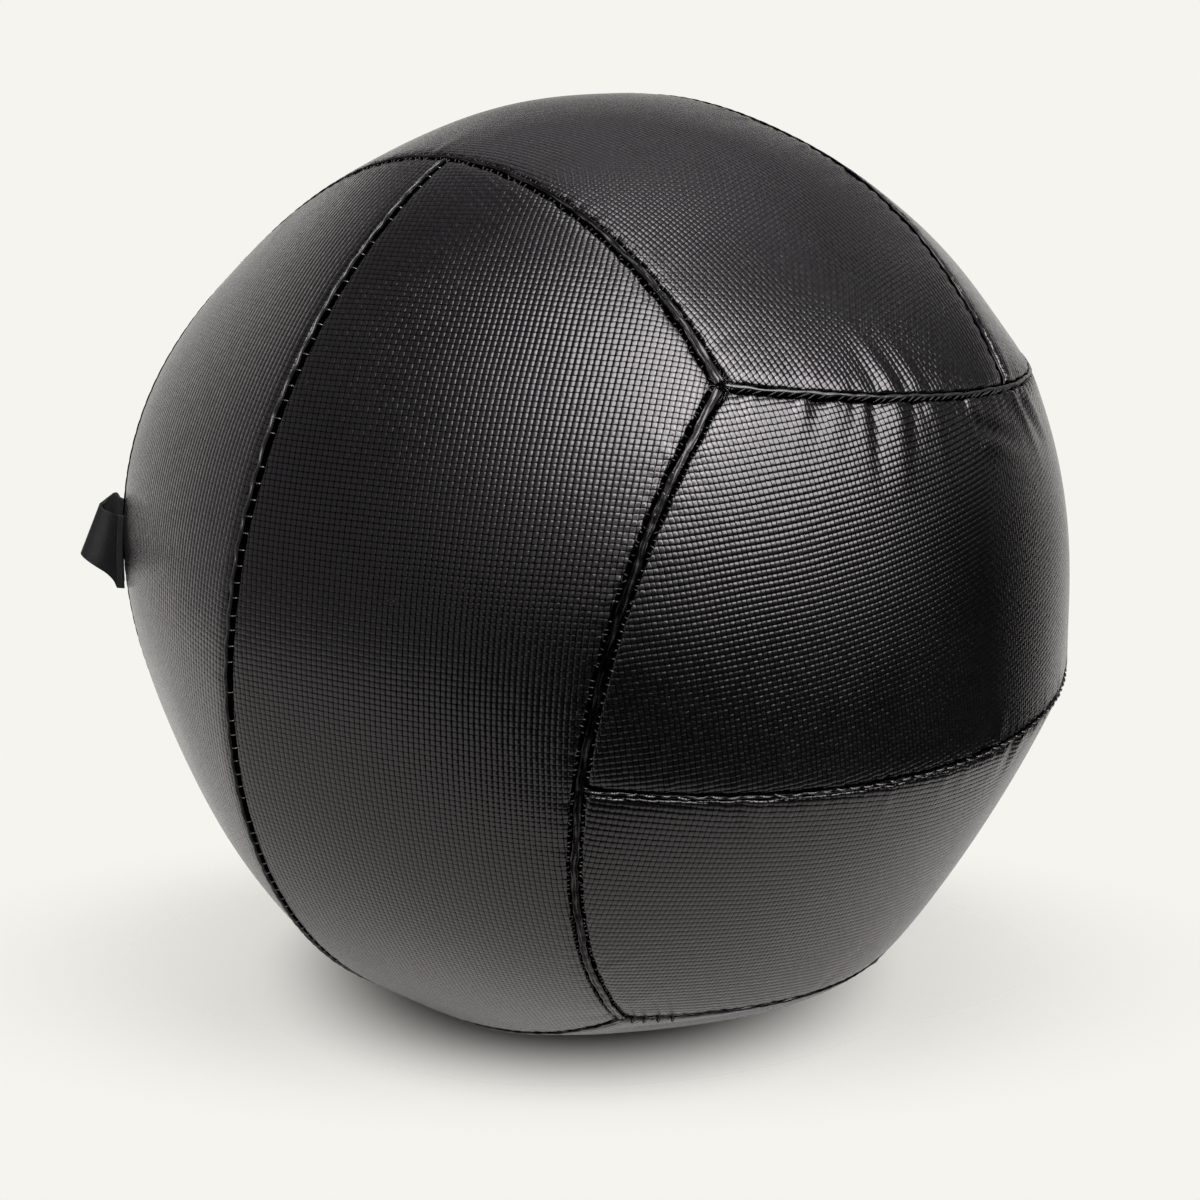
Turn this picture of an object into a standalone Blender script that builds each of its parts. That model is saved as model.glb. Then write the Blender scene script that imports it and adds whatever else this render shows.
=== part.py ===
"""Soft wall ball, 14 inches across, resting on the floor with its hang loop at the left.

Twelve cover strips are sewn in crossing pairs, two to each of six faces, as on a volleyball.
A folded welt stands in each of the eighteen seams. Inside lie a foam layer and packed wadding,
each in an upper and a lower half, and a tied bag of iron sand at the centre.
The origin is on the floor, at the middle of the patch that the ball rests on.
"""

import math

import bmesh
import bpy
import numpy as np
from mathutils import Euler, Matrix, Vector

# Ball
seam_radius = 0.1800  # ball centre to the crest of a seam
strip_sink = 0.0045  # the middle of a strip lies this far below the crests
sink_end_power = 4  # how squarely that sink ends at the strip's two ends
floor_press = 0.0075  # the ball's weight flattens it this far onto the floor
floor_blend = 0.0035  # the cover rounds up from the flat patch within this height
fit_gap = 0.0003  # between pieces that touch

# Cover strips
cover_thickness = 0.0016
edge_roll = 0.0009  # a strip's sewn edge is drawn in this far
roll_width = 0.0060  # over this width along the seam

# Welts
welt_width = 0.0034
welt_depth = 0.0022
welt_proud = 0.0005  # the welt's crown stands above the crest line
welt_crown = 0.0006
corner_clearance = 0.0006  # three welts stop short of the corner where they meet
half_corner_angle = math.radians(60)  # half the angle between two of the three

# Foam layer and wadding
foam_thickness = 0.0100
foam_slack = 0.0015  # the foam lies this far under the cover, clear of the drawn-in edges
layer_gap = 0.0009  # between foam and wadding, whose facets cut their curves short
half_gap = 0.0003  # between an upper and a lower half

# Weight bag
bag_radius = 0.0660
bag_thickness = 0.0015
mouth_radius = 0.0160  # where the round of the bag turns up into the neck
neck_radius = 0.0080
neck_flare_share = 1.25  # the neck's radius halfway up, over its radius at the tie
neck_height = 0.0160  # from the round of the bag to the tie
frill_radius = 0.0150
frill_height = 0.0120
bag_slack = 0.0010  # between the bag and the wadding round it
neck_slack = 0.0050
tie_radius = 0.0020
fill_slack = 0.0004
seam_merge = 0.0001  # points this close on a turned solid's axis become one

# Hang loop, of webbing folded once
loop_width = 0.0280
loop_reach = 0.0170  # from the hinge line to the outside of the fold
loop_thickness = 0.0012
loop_fold_radius = 0.0052  # of the fold's middle line
loop_root_half = 0.0009  # half the distance between the two tails' middle lines
loop_root_curl = math.radians(75)  # each tail curls in under the hinge line through this angle
loop_drop = 0.0045  # the fold hangs this far lower than the root
loop_shift = 0.0110  # up the seam from where the rear strips' middle seam meets it

# Lumps of the stuffing: degrees round from +X, degrees up, height, and degrees of spread
LUMPS = (
    (199.0, 20.0, 0.0022, 16.0),
    (206.0, -13.0, -0.0028, 15.0),
    (199.0, 51.0, -0.0034, 17.0),
    (224.0, 77.0, 0.0018, 13.0),
    (340.0, 9.0, 0.0018, 13.0),
    (342.0, 31.0, -0.0017, 9.0),
    (337.0, 65.0, -0.0018, 12.0),
    (309.0, -46.0, 0.0028, 14.0),
)

# Turn of the seam pattern, in degrees about X, Y and Z
pattern_turn = (-7.7, -0.4, -128.5)

# The hand-sewn pattern is a little out of square
stretch_shares = (-0.022, 0.030, -0.008)
skew_xy_share = 0.035
skew_xz_share = -0.033
skew_yz_share = -0.019

# Grid counts
strip_across_count = 6
strip_along_count = 16
welt_along_count = 14
welt_across_count = 2
layer_segment_count = 32
layer_ring_count = 16
core_segment_count = 24
core_arc_count = 12
tie_segment_count = 8
loop_across_count = 4
loop_fold_count = 8
loop_leg_count = 3
loop_curl_count = 3

# Worked out from the sizes above
centre_height = seam_radius - floor_press
edge_level = 1 / math.sqrt(3)  # plane of an edge seam, for a ball of radius 1
tiny = 1e-9  # keeps a division off zero
strip_inset = welt_width / 2 + fit_gap
foam_inset = cover_thickness + foam_slack
wadding_inset = foam_inset + foam_thickness + layer_gap

# Faces: name, axis that the face looks along, its sign, and the names of its two strips
FACES = (
    ("left", 0, 1, "inner", "outer"),
    ("right", 1, 1, "upper", "lower"),
    ("top", 2, 1, "front", "rear"),
    ("back_right", 0, -1, "outer", "inner"),
    ("back_left", 1, -1, "upper", "lower"),
    ("bottom", 2, -1, "front", "rear"),
)
FACE_NAMES = {(axis, sign): name for name, axis, sign, _, _ in FACES}


def seam_pattern():
    """Matrix from the square seam pattern to the ball as it lies."""
    stretch = np.diag([1 + share for share in stretch_shares])
    skew = np.array(
        (
            (0, skew_xy_share, skew_xz_share),
            (skew_xy_share, 0, skew_yz_share),
            (skew_xz_share, skew_yz_share, 0),
        )
    )
    turn = Euler([math.radians(angle) for angle in pattern_turn], "XYZ")
    return np.array(turn.to_matrix()) @ (stretch + skew)


PATTERN = seam_pattern()
PATTERN_BACK = np.linalg.inv(PATTERN)


def unit(vectors):
    return vectors / np.linalg.norm(vectors, axis=-1, keepdims=True)


def lump_height(directions):
    """Height that the lumps add: each falls off as a bell over its spread."""
    height = np.zeros(len(directions))
    for around, up, lump, spread in LUMPS:
        around, up = math.radians(around), math.radians(up)
        peak = (math.cos(up) * math.cos(around), math.cos(up) * math.sin(around), math.sin(up))
        fall = (1 - directions @ np.array(peak)) / (1 - math.cos(math.radians(spread)))
        height += lump * np.exp(-fall)
    return height


def strip_place(square):
    """Place in its strip of each direction: -1 to 1 across, and -1 to 1 along."""
    across = np.zeros(len(square))
    along = np.zeros(len(square))
    size = np.abs(square)
    for axis in range(3):
        width = size[:, (axis + 1) % 3]
        inside = (size[:, axis] >= edge_level) & (width <= edge_level)
        ring = np.sqrt(np.maximum(1 - width**2, tiny))
        angle = np.arctan2(square[:, (axis + 2) % 3], size[:, axis])
        end = np.arccos(np.clip(edge_level / ring, -1, 1))
        across = np.where(inside, 2 * width / edge_level - 1, across)
        along = np.where(inside, angle / np.maximum(end, tiny), along)
    return np.clip(across, -1, 1), np.clip(along, -1, 1)


def ball_points(square, inset):
    """Points of the ball's surface, about its centre, drawn in by inset and flat on the floor."""
    square = unit(square)
    directions = unit(square @ PATTERN.T)
    across, along = strip_place(square)
    sink = strip_sink * (1 - across**2) * (1 - along**sink_end_power)
    radius = seam_radius - sink + lump_height(directions) - inset
    points = directions * radius[:, None]
    floor = np.maximum(inset, 0) - centre_height
    above = points[:, 2] - floor
    # A parabola joins the flat patch to the round of the ball.
    rounded = (np.clip(above, -floor_blend, floor_blend) + floor_blend) ** 2 / (4 * floor_blend)
    points[:, 2] = floor + np.where(above > floor_blend, above, rounded)
    return points


def material(name, colour, roughness, metallic=0.0):
    made = bpy.data.materials.new(name)
    made.use_nodes = True
    shader = made.node_tree.nodes["Principled BSDF"]
    shader.inputs["Base Color"].default_value = (*colour, 1)
    shader.inputs["Roughness"].default_value = roughness
    shader.inputs["Metallic"].default_value = metallic
    return made


def add_object(name, mesh, finish, collection, parent=None):
    obj = bpy.data.objects.new(name, mesh)
    collection.objects.link(obj)
    obj.parent = parent
    if finish:
        mesh.materials.append(finish)
    mesh.shade_smooth()
    return obj


def add_cutter(obj):
    obj.hide_render = True
    obj.display_type = "WIRE"
    return obj


def sheet(name, across_count, along_count, place, thickness):
    """Open grid laid out by place(s, t), both -1 to 1, with a wall inwards from it."""
    bm = bmesh.new()
    bmesh.ops.create_grid(bm, x_segments=across_count, y_segments=along_count, size=1)
    flat = np.array([vert.co for vert in bm.verts])
    points = place(flat[:, 0], flat[:, 1])
    for vert, point in zip(bm.verts, points):
        vert.co = point
    bm.normal_update()
    outward = sum(face.normal.dot(face.calc_center_median()) for face in bm.faces)
    if outward < 0:
        bmesh.ops.reverse_faces(bm, faces=bm.faces)
    mesh = bpy.data.meshes.new(name)
    bm.to_mesh(mesh)
    bm.free()

    def wall(obj):
        solidify = obj.modifiers.new("wall", "SOLIDIFY")
        solidify.thickness = thickness
        solidify.offset = -1

    return mesh, wall


def edge_spaced(t, spans, edge):
    """Even spans between -1 and 1, but for a narrow one, edge wide, at each end."""
    steps = (t + 1) / 2 * spans
    return np.interp(steps, [0, 1, spans - 1, spans], [-1, edge - 1, 1 - edge, 1])


def roll(distance):
    """How far a strip is drawn in, this far from its sewn edge."""
    return edge_roll * np.clip(1 - distance / roll_width, 0, 1) ** 2


def face_direction(axis, sign, ahead, across, along):
    """Square-pattern directions of a face from its three parts."""
    square = np.zeros((len(across), 3))
    square[:, axis] = sign * ahead
    square[:, (axis + 1) % 3] = across
    square[:, (axis + 2) % 3] = along
    return square


def strip_points(axis, sign, side, s, t):
    """Grid of one strip: s across it, t along it."""
    inset = strip_inset / seam_radius
    strip_width = (edge_level - 2 * inset) * seam_radius
    s = edge_spaced(s, strip_across_count, 2 * roll_width / strip_width)
    across = inset + (edge_level - 2 * inset) * (s + 1) / 2
    ring = np.sqrt(1 - across**2)
    end = np.arccos((edge_level + inset) / ring)
    t = edge_spaced(t, strip_along_count, roll_width / (seam_radius * end.mean()))
    angle = t * end
    square = face_direction(axis, sign, ring * np.cos(angle), side * across, ring * np.sin(angle))
    drawn = roll((1 - np.abs(s)) * strip_width / 2) + roll((1 - np.abs(t)) * end * seam_radius)
    return ball_points(square, np.minimum(drawn, edge_roll))


def welt_points(axis, sign, level, end, s, t):
    """Grid of one welt, on the plane at level across the face, out to angle end each way."""
    half = welt_width / 2 / seam_radius
    ring = math.sqrt(1 - level**2)
    angle = t * end
    ahead = ring * np.cos(angle)
    along = ring * np.sin(angle)
    middle = face_direction(axis, sign, ahead, np.full(len(s), level), along)
    outward = unit(middle)
    side = np.cross(outward, face_direction(axis, sign, -np.sin(angle), 0 * s, np.cos(angle)))
    return ball_points(middle + unit(side) * (s * half)[:, None], welt_crown * s**2 - welt_proud)


def add_cover(collection, centre, finish):
    for face, axis, sign, high_strip, low_strip in FACES:
        for side, strip in ((1, high_strip), (-1, low_strip)):
            name = f"panel_{face}_{strip}"
            mesh, wall = sheet(
                name,
                strip_across_count,
                strip_along_count,
                lambda s, t: strip_points(axis, sign, side, s, t),
                cover_thickness,
            )
            wall(add_object(name, mesh, finish, collection, centre))


def add_welts(collection, centre, finish):
    half = welt_width / 2
    corner_cut = half / math.tan(half_corner_angle) + corner_clearance
    edge_ring = math.sqrt(1 - edge_level**2)
    edge_end = math.acos(edge_level / edge_ring) - corner_cut / (edge_ring * seam_radius)
    middle_end = math.acos(edge_level) - (half + fit_gap) / seam_radius
    for face, axis, sign, _, _ in FACES:
        seams = [(f"welt_{face}_middle", 0.0, middle_end)]
        for side in (1, -1):
            beside = FACE_NAMES[(axis + 1) % 3, side]
            seams.append((f"welt_{face}_{beside}", side * edge_level, edge_end))
        for name, level, end in seams:
            mesh, wall = sheet(
                name,
                welt_across_count,
                welt_along_count,
                lambda s, t: welt_points(axis, sign, level, end, s, t),
                welt_depth,
            )
            wall(add_object(name, mesh, finish, collection, centre))


def layer_ball(name, inset):
    """Closed ball inside the cover, drawn in by inset."""
    bm = bmesh.new()
    bmesh.ops.create_uvsphere(bm, u_segments=layer_segment_count, v_segments=layer_ring_count, radius=1)
    directions = np.array([vert.co for vert in bm.verts])
    points = ball_points(directions @ PATTERN_BACK.T, inset)
    for vert, point in zip(bm.verts, points):
        vert.co = point
    # Layers that lie in each other are split alike, so that their facets stay parallel.
    bmesh.ops.triangulate(bm, faces=bm.faces, quad_method="FIXED")
    return bm


def cut_half(bm, upper):
    """Keeps the upper or lower half, less half the gap, with a flat face at the cut."""
    side = 1 if upper else -1
    whole = bm.verts[:] + bm.edges[:] + bm.faces[:]
    bmesh.ops.bisect_plane(
        bm,
        geom=whole,
        plane_co=(0, 0, side * half_gap / 2),
        plane_no=(0, 0, side),
        clear_inner=True,
    )
    rim = [edge for edge in bm.edges if edge.is_boundary]
    bmesh.ops.contextual_create(bm, geom=rim)
    bmesh.ops.recalc_face_normals(bm, faces=bm.faces)


def to_mesh(bm, name):
    mesh = bpy.data.meshes.new(name)
    bm.to_mesh(mesh)
    bm.free()
    return mesh


def cut_with(obj, cutter):
    boolean = obj.modifiers.new("hollow", "BOOLEAN")
    boolean.operation = "DIFFERENCE"
    boolean.solver = "EXACT"
    boolean.object = cutter


def turned(name, profile, segments):
    """Mesh of a profile of (radius, height) points that the Screw modifier turns about Z."""
    mesh = bpy.data.meshes.new(name)
    edges = [(i, i + 1) for i in range(len(profile) - 1)]
    mesh.from_pydata([(x, 0, z) for x, z in profile], edges, [])

    def spin(obj):
        screw = obj.modifiers.new("turn", "SCREW")
        screw.steps = segments
        screw.render_steps = segments
        screw.use_merge_vertices = True
        screw.merge_threshold = seam_merge
        screw.use_normal_calculate = False

    return mesh, spin


def round_profile(radius, start_angle, points):
    """Points down the outside of a ball from start_angle off its top to its lowest point."""
    angles = np.linspace(start_angle, math.pi, points)
    return [(radius * math.sin(a) * (a < math.pi), radius * math.cos(a)) for a in angles]


def bag_mouth(radius):
    """Angle off the top at which the bag of this radius turns up into its neck."""
    return math.asin(mouth_radius / radius)


def add_weight(collection, cutters, centre, bag_finish, fill_finish, tie_finish):
    """The tied bag of iron sand. Returns the solid that the wadding leaves room for."""
    mouth = bag_mouth(bag_radius)
    tie_level = bag_radius + neck_height
    top_level = tie_level + frill_height
    profile = [
        (frill_radius, top_level),
        ((frill_radius + neck_radius) / 2, tie_level + frill_height / 2),
        (neck_radius, tie_level + tie_radius),
        (neck_radius, tie_level - tie_radius),
        (neck_radius * neck_flare_share, (tie_level + bag_radius) / 2),
    ]
    profile += round_profile(bag_radius, mouth, core_arc_count)
    mesh, spin = turned("weight_bag", profile, core_segment_count)
    bag = add_object("weight_bag", mesh, bag_finish, collection, centre)
    spin(bag)
    wall = bag.modifiers.new("wall", "SOLIDIFY")
    wall.thickness = bag_thickness
    wall.offset = -1

    fill_radius = bag_radius - bag_thickness - fill_slack
    start = bag_mouth(fill_radius)
    fill_profile = [(0, fill_radius * math.cos(start))]
    fill_profile += round_profile(fill_radius, start, core_arc_count)
    mesh, spin = turned("weight_fill", fill_profile, core_segment_count)
    spin(add_object("weight_fill", mesh, fill_finish, collection, centre))

    bpy.ops.mesh.primitive_torus_add(
        major_radius=neck_radius + tie_radius + fit_gap,
        minor_radius=tie_radius,
        major_segments=core_segment_count,
        minor_segments=tie_segment_count,
    )
    tie = bpy.context.object
    tie.name = "weight_bag_tie"
    tie.data.name = "weight_bag_tie"
    tie.data.materials.append(tie_finish)
    tie.data.shade_smooth()
    tie.parent = centre
    tie.location = (0, 0, tie_level)
    for holder in tie.users_collection:
        holder.objects.unlink(tie)
    collection.objects.link(tie)

    room_radius = frill_radius + neck_slack
    room_angle = math.asin(room_radius / (bag_radius + bag_slack))
    room = [(0, top_level + bag_slack), (room_radius, top_level + bag_slack)]
    room += round_profile(bag_radius + bag_slack, room_angle, core_arc_count)
    mesh, spin = turned("weight_room", room, core_segment_count)
    room_cutter = add_cutter(add_object("weight_room", mesh, None, cutters, centre))
    spin(room_cutter)
    return room_cutter


def add_layers(collection, cutters, centre, foam_finish, wadding_finish, weight_room):
    hollow_mesh = to_mesh(layer_ball("foam_hollow", foam_inset + foam_thickness), "foam_hollow")
    hollow = add_cutter(add_object("foam_hollow", hollow_mesh, None, cutters, centre))
    for word, upper in (("upper", True), ("lower", False)):
        for kind, inset, finish, cutter in (
            ("foam_layer", foam_inset, foam_finish, hollow),
            ("wadding", wadding_inset, wadding_finish, weight_room),
        ):
            name = f"{kind}_{word}"
            bm = layer_ball(name, inset)
            cut_half(bm, upper)
            cut_with(add_object(name, to_mesh(bm, name), finish, collection, centre), cutter)


def loop_line():
    """Middle line of the folded webbing, as (across, out) points from tail to tail."""
    out = loop_reach - loop_thickness / 2 - loop_fold_radius
    tail = np.array((loop_root_half, 0))
    # The leg runs from the tail straight to where it touches the fold's circle.
    gap = np.array((0, out)) - tail
    reach = np.linalg.norm(gap)
    lean = math.asin(loop_fold_radius / reach) - math.atan2(-gap[0], gap[1])
    start = np.array((loop_fold_radius * math.cos(lean), out - loop_fold_radius * math.sin(lean)))
    leg = tail + (start - tail) * np.linspace(0, 1, loop_leg_count, endpoint=False)[:, None]
    curl_angles = np.linspace(-loop_root_curl, 0, loop_curl_count, endpoint=False)
    curl = np.stack((np.cos(curl_angles), np.sin(curl_angles)), axis=1) * loop_root_half
    side = np.concatenate((curl, leg))
    angles = np.linspace(-lean, math.pi + lean, loop_fold_count + 1)
    fold = np.stack((np.cos(angles), np.sin(angles)), axis=1) * loop_fold_radius + (0, out)
    return np.concatenate((side, fold, side[::-1] * (-1, 1)))


def loop_frame():
    """Place of the loop on the ball: across the seam, along it, and straight out."""
    ring = math.sqrt(1 - edge_level**2)
    angle = loop_shift / (ring * seam_radius)
    spots = [
        ring * np.array((math.cos(a), 0, math.sin(a))) + np.array((0, -edge_level, 0))
        for a in (angle, angle + loop_width / seam_radius / 2)
    ]
    here, above = ball_points(np.array(spots), np.full(2, -welt_proud))
    out = Vector(here).normalized()
    along = (Vector(above) - Vector(here)).normalized()
    across = along.cross(out).normalized()
    along = out.cross(across)
    place = Matrix((across, along, out)).transposed().to_4x4()
    # The tails turn about a line half the root's thickness above the welt.
    lift = fit_gap + loop_root_half + loop_thickness / 2
    place.translation = Vector(here) + out * lift
    return place


def add_loop(collection, centre, finish):
    line = loop_line()
    lengths = np.concatenate(([0], np.cumsum(np.linalg.norm(np.diff(line, axis=0), axis=1))))
    spans = len(line) - 1

    def place(s, t):
        step = (t + 1) / 2 * spans
        across = np.interp(step, range(spans + 1), line[:, 0])
        out = np.interp(step, range(spans + 1), line[:, 1])
        folded = np.sin(math.pi * np.interp(step, range(spans + 1), lengths) / lengths[-1])
        along = s * loop_width / 2 - loop_drop * folded
        return np.stack((across, along, out), axis=1)

    mesh, _ = sheet("hang_loop", loop_across_count, spans, place, loop_thickness)
    loop = add_object("hang_loop", mesh, finish, collection, centre)
    loop.matrix_local = loop_frame()
    wall = loop.modifiers.new("wall", "SOLIDIFY")
    wall.thickness = loop_thickness
    wall.offset = 0


def main():
    for obj in list(bpy.data.objects):
        bpy.data.objects.remove(obj)
    scene = bpy.context.scene.collection
    parts = bpy.data.collections.new("wall_ball")
    cutters = bpy.data.collections.new("cutters")
    scene.children.link(parts)
    scene.children.link(cutters)
    centre = bpy.data.objects.new("ball_centre", None)
    centre.location = (0, 0, centre_height)
    parts.objects.link(centre)

    cover = material("coated_cover", (0.022, 0.021, 0.022), 0.38)
    welt = material("folded_welt", (0.014, 0.014, 0.015), 0.42)
    foam = material("foam", (0.32, 0.32, 0.31), 0.9)
    wadding = material("wadding", (0.62, 0.60, 0.55), 0.95)
    canvas = material("canvas", (0.55, 0.48, 0.36), 0.85)
    sand = material("iron_sand", (0.12, 0.11, 0.10), 0.6, 0.7)
    cord = material("cord", (0.75, 0.73, 0.68), 0.8)
    webbing = material("webbing", (0.020, 0.019, 0.020), 0.75)

    add_cover(parts, centre, cover)
    add_welts(parts, centre, welt)
    weight_room = add_weight(parts, cutters, centre, canvas, sand, cord)
    add_layers(parts, cutters, centre, foam, wadding, weight_room)
    add_loop(parts, centre, webbing)


main()
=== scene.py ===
"""Looks of the soft wall ball: coated woven cover, folded welts, sewing thread and hang loop.

Everything is in metres, in the frame of the solids. The cover lies on the same ball formula as
the solids do, with the roll of each sewn edge, the puckers and the creases added to it.
"""

import logging
import math
from dataclasses import dataclass, replace
from enum import Enum
from functools import cached_property
from typing import Optional, Sequence

import bpy
import numpy as np
from mathutils import Euler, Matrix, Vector


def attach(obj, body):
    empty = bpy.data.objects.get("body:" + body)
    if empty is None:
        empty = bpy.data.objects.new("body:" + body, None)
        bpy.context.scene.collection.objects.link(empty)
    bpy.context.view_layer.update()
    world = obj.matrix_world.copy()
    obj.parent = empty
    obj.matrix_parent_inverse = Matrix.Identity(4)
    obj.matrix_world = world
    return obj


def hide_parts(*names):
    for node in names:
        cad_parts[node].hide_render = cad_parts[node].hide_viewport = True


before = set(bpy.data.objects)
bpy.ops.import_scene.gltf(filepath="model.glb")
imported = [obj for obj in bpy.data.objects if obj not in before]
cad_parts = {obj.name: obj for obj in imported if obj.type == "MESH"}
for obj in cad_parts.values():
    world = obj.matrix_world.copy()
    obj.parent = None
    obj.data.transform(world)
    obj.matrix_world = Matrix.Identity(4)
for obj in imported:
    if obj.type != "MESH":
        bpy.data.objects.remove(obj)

log = logging.getLogger("wall_ball")
MM = 0.001
EDGE_LEVEL = 1 / math.sqrt(3)  # plane of a long edge seam, for a ball of radius 1
TINY = 1e-9  # keeps a division off zero
PHASES = (0.0, 6.3)  # a whole turn in radians, for chance phases
STITCH_PITCH = 5.0 * MM
Three = tuple[float, float, float]
Pair = tuple[float, float]
Array = np.ndarray
Material = bpy.types.Material
Node = bpy.types.Node
Object = bpy.types.Object
Socket = bpy.types.NodeSocket
Tree = bpy.types.NodeTree


def even(value: float) -> Three:
    """The same value at a seam's low end, middle and high end."""
    return (value, value, value)


# The ball's own form.


@dataclass(frozen=True)
class Lump:
    """A swelling or hollow of the stuffing: its place in degrees, height in metres, spread in degrees."""

    around: float
    up: float
    height: float
    spread: float


@dataclass(frozen=True)
class BallForm:
    """The stuffed ball's surface, with the same sizes as the solids."""

    seam_radius: float = 0.1800
    strip_sink: float = 0.0045
    sink_end_power: int = 4
    floor_press: float = 0.0075
    floor_blend: float = 0.0035
    turn: tuple[float, ...] = (-7.7, -0.4, -128.5)
    stretch: tuple[float, ...] = (-0.022, 0.030, -0.008)
    skew: Three = (0.035, -0.033, -0.019)
    lumps: tuple[Lump, ...] = (
        Lump(199.0, 20.0, 0.0022, 16.0),
        Lump(206.0, -13.0, -0.0028, 15.0),
        Lump(199.0, 51.0, -0.0034, 17.0),
        Lump(224.0, 77.0, 0.0018, 13.0),
        Lump(340.0, 9.0, 0.0018, 13.0),
        Lump(342.0, 31.0, -0.0017, 9.0),
        Lump(337.0, 65.0, -0.0018, 12.0),
        Lump(309.0, -46.0, 0.0028, 14.0),
    )

    @property
    def centre_height(self) -> float:
        """Height of the ball's centre above the floor."""
        return self.seam_radius - self.floor_press

    @property
    def centre(self) -> Array:
        """The ball's centre."""
        return np.array((0, 0, self.centre_height))

    @cached_property
    def pattern(self) -> Array:
        """Matrix from the square seam pattern to the ball as it lies: a turn after a stretch and skew."""
        stretch = np.diag([1 + share for share in self.stretch])
        xy, xz, yz = self.skew
        skew = np.array(((0, xy, xz), (xy, 0, yz), (xz, yz, 0)))
        turn = Euler([math.radians(angle) for angle in self.turn], "XYZ")
        return np.array(turn.to_matrix()) @ (stretch + skew)

    def lump_height(self, directions: Array) -> Array:
        """Height that the lumps add: each falls off as a bell over its spread.

        Args:
            directions: unit directions from the centre, one a row.

        Returns:
            A height for each direction, in metres.
        """
        height = np.zeros(len(directions))
        for lump in self.lumps:
            around, up = math.radians(lump.around), math.radians(lump.up)
            peak = (math.cos(up) * math.cos(around), math.cos(up) * math.sin(around), math.sin(up))
            fall = (1 - directions @ np.array(peak)) / (1 - math.cos(math.radians(lump.spread)))
            height += lump.height * np.exp(-fall)
        return height

    def surface(self, square: Array, inset: Array) -> Array:
        """Points of the ball, drawn in by inset and pressed flat on the floor.

        The radius is the seam radius less the sink of a strip between its seams, plus the lumps.
        Below the height of the floor's blend a parabola joins the round of the ball to the flat.

        Args:
            square: directions in the square seam pattern, one a row.
            inset: depth below the sewn surface for each, in metres.

        Returns:
            Points in the frame of the solids.
        """
        square = unit(square)
        directions = unit(square @ self.pattern.T)
        across, along = strip_place(square)
        sink = self.strip_sink * (1 - across**2) * (1 - along**self.sink_end_power)
        radius = self.seam_radius - sink + self.lump_height(directions) - inset
        points = directions * radius[:, None]
        floor = np.maximum(inset, 0) - self.centre_height
        above = points[:, 2] - floor
        blend = self.floor_blend
        rounded = (np.clip(above, -blend, blend) + blend) ** 2 / (4 * blend)
        points[:, 2] = floor + np.where(above > blend, above, rounded)
        return points + self.centre

    def layer(self, directions: Array, inset: float) -> Array:
        """Points of a layer inside the cover, in these directions as the ball lies."""
        return self.surface(directions @ np.linalg.inv(self.pattern).T, np.full(len(directions), inset))


def unit(vectors: Array) -> Array:
    """Each row over its own length."""
    return vectors / np.linalg.norm(vectors, axis=-1, keepdims=True)


def strip_place(square: Array) -> tuple[Array, Array]:
    """Place in its strip of each direction.

    Args:
        square: unit directions in the square seam pattern.

    Returns:
        The places across and along the strip, each from -1 to 1 between its seams.
    """
    across, along = np.zeros(len(square)), np.zeros(len(square))
    size = np.abs(square)
    for axis in range(3):
        width = size[:, (axis + 1) % 3]
        inside = (size[:, axis] >= EDGE_LEVEL) & (width <= EDGE_LEVEL)
        ring = np.sqrt(np.maximum(1 - width**2, TINY))
        angle = np.arctan2(square[:, (axis + 2) % 3], size[:, axis])
        end = np.arccos(np.clip(EDGE_LEVEL / ring, -1, 1))
        across = np.where(inside, 2 * width / EDGE_LEVEL - 1, across)
        along = np.where(inside, angle / np.maximum(end, TINY), along)
    return np.clip(across, -1, 1), np.clip(along, -1, 1)


class Face(Enum):
    """A face of the seam pattern: its axis, the axis's sign, and the names of its two strips."""

    LEFT = (0, 1, "inner", "outer")
    RIGHT = (1, 1, "upper", "lower")
    TOP = (2, 1, "front", "rear")
    BACK_RIGHT = (0, -1, "outer", "inner")
    BACK_LEFT = (1, -1, "upper", "lower")
    BOTTOM = (2, -1, "front", "rear")

    @property
    def label(self) -> str:
        """The face's name in the names of its pieces."""
        return self.name.lower()

    @property
    def axis(self) -> int:
        """Number of the axis that the face looks along."""
        return self.value[0]

    @property
    def sign(self) -> int:
        """Which way along its axis the face looks."""
        return self.value[1]

    def strip(self, side: int) -> str:
        """Name of the strip on this side of the face's middle seam."""
        return self.value[2] if side > 0 else self.value[3]

    def beside(self, side: int) -> "Face":
        """The face across the long edge seam on this side."""
        return self.turned(1, side)

    def turned(self, step: int, sign: int) -> "Face":
        """The face whose axis comes this many steps after this one's, and whose sign is this."""
        return next(face for face in Face if face.value[:2] == ((self.axis + step) % 3, sign))

    def direction(self, ahead: Array, across: Array, along: Array) -> Array:
        """Square-pattern directions from their parts ahead of the face, across its strips and along them."""
        square = np.zeros((len(across), 3))
        square[:, self.axis] = self.sign * ahead
        square[:, (self.axis + 1) % 3] = across
        square[:, (self.axis + 2) % 3] = along
        return square


# Seams. Millimetres in the tables, metres everywhere else.


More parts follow.
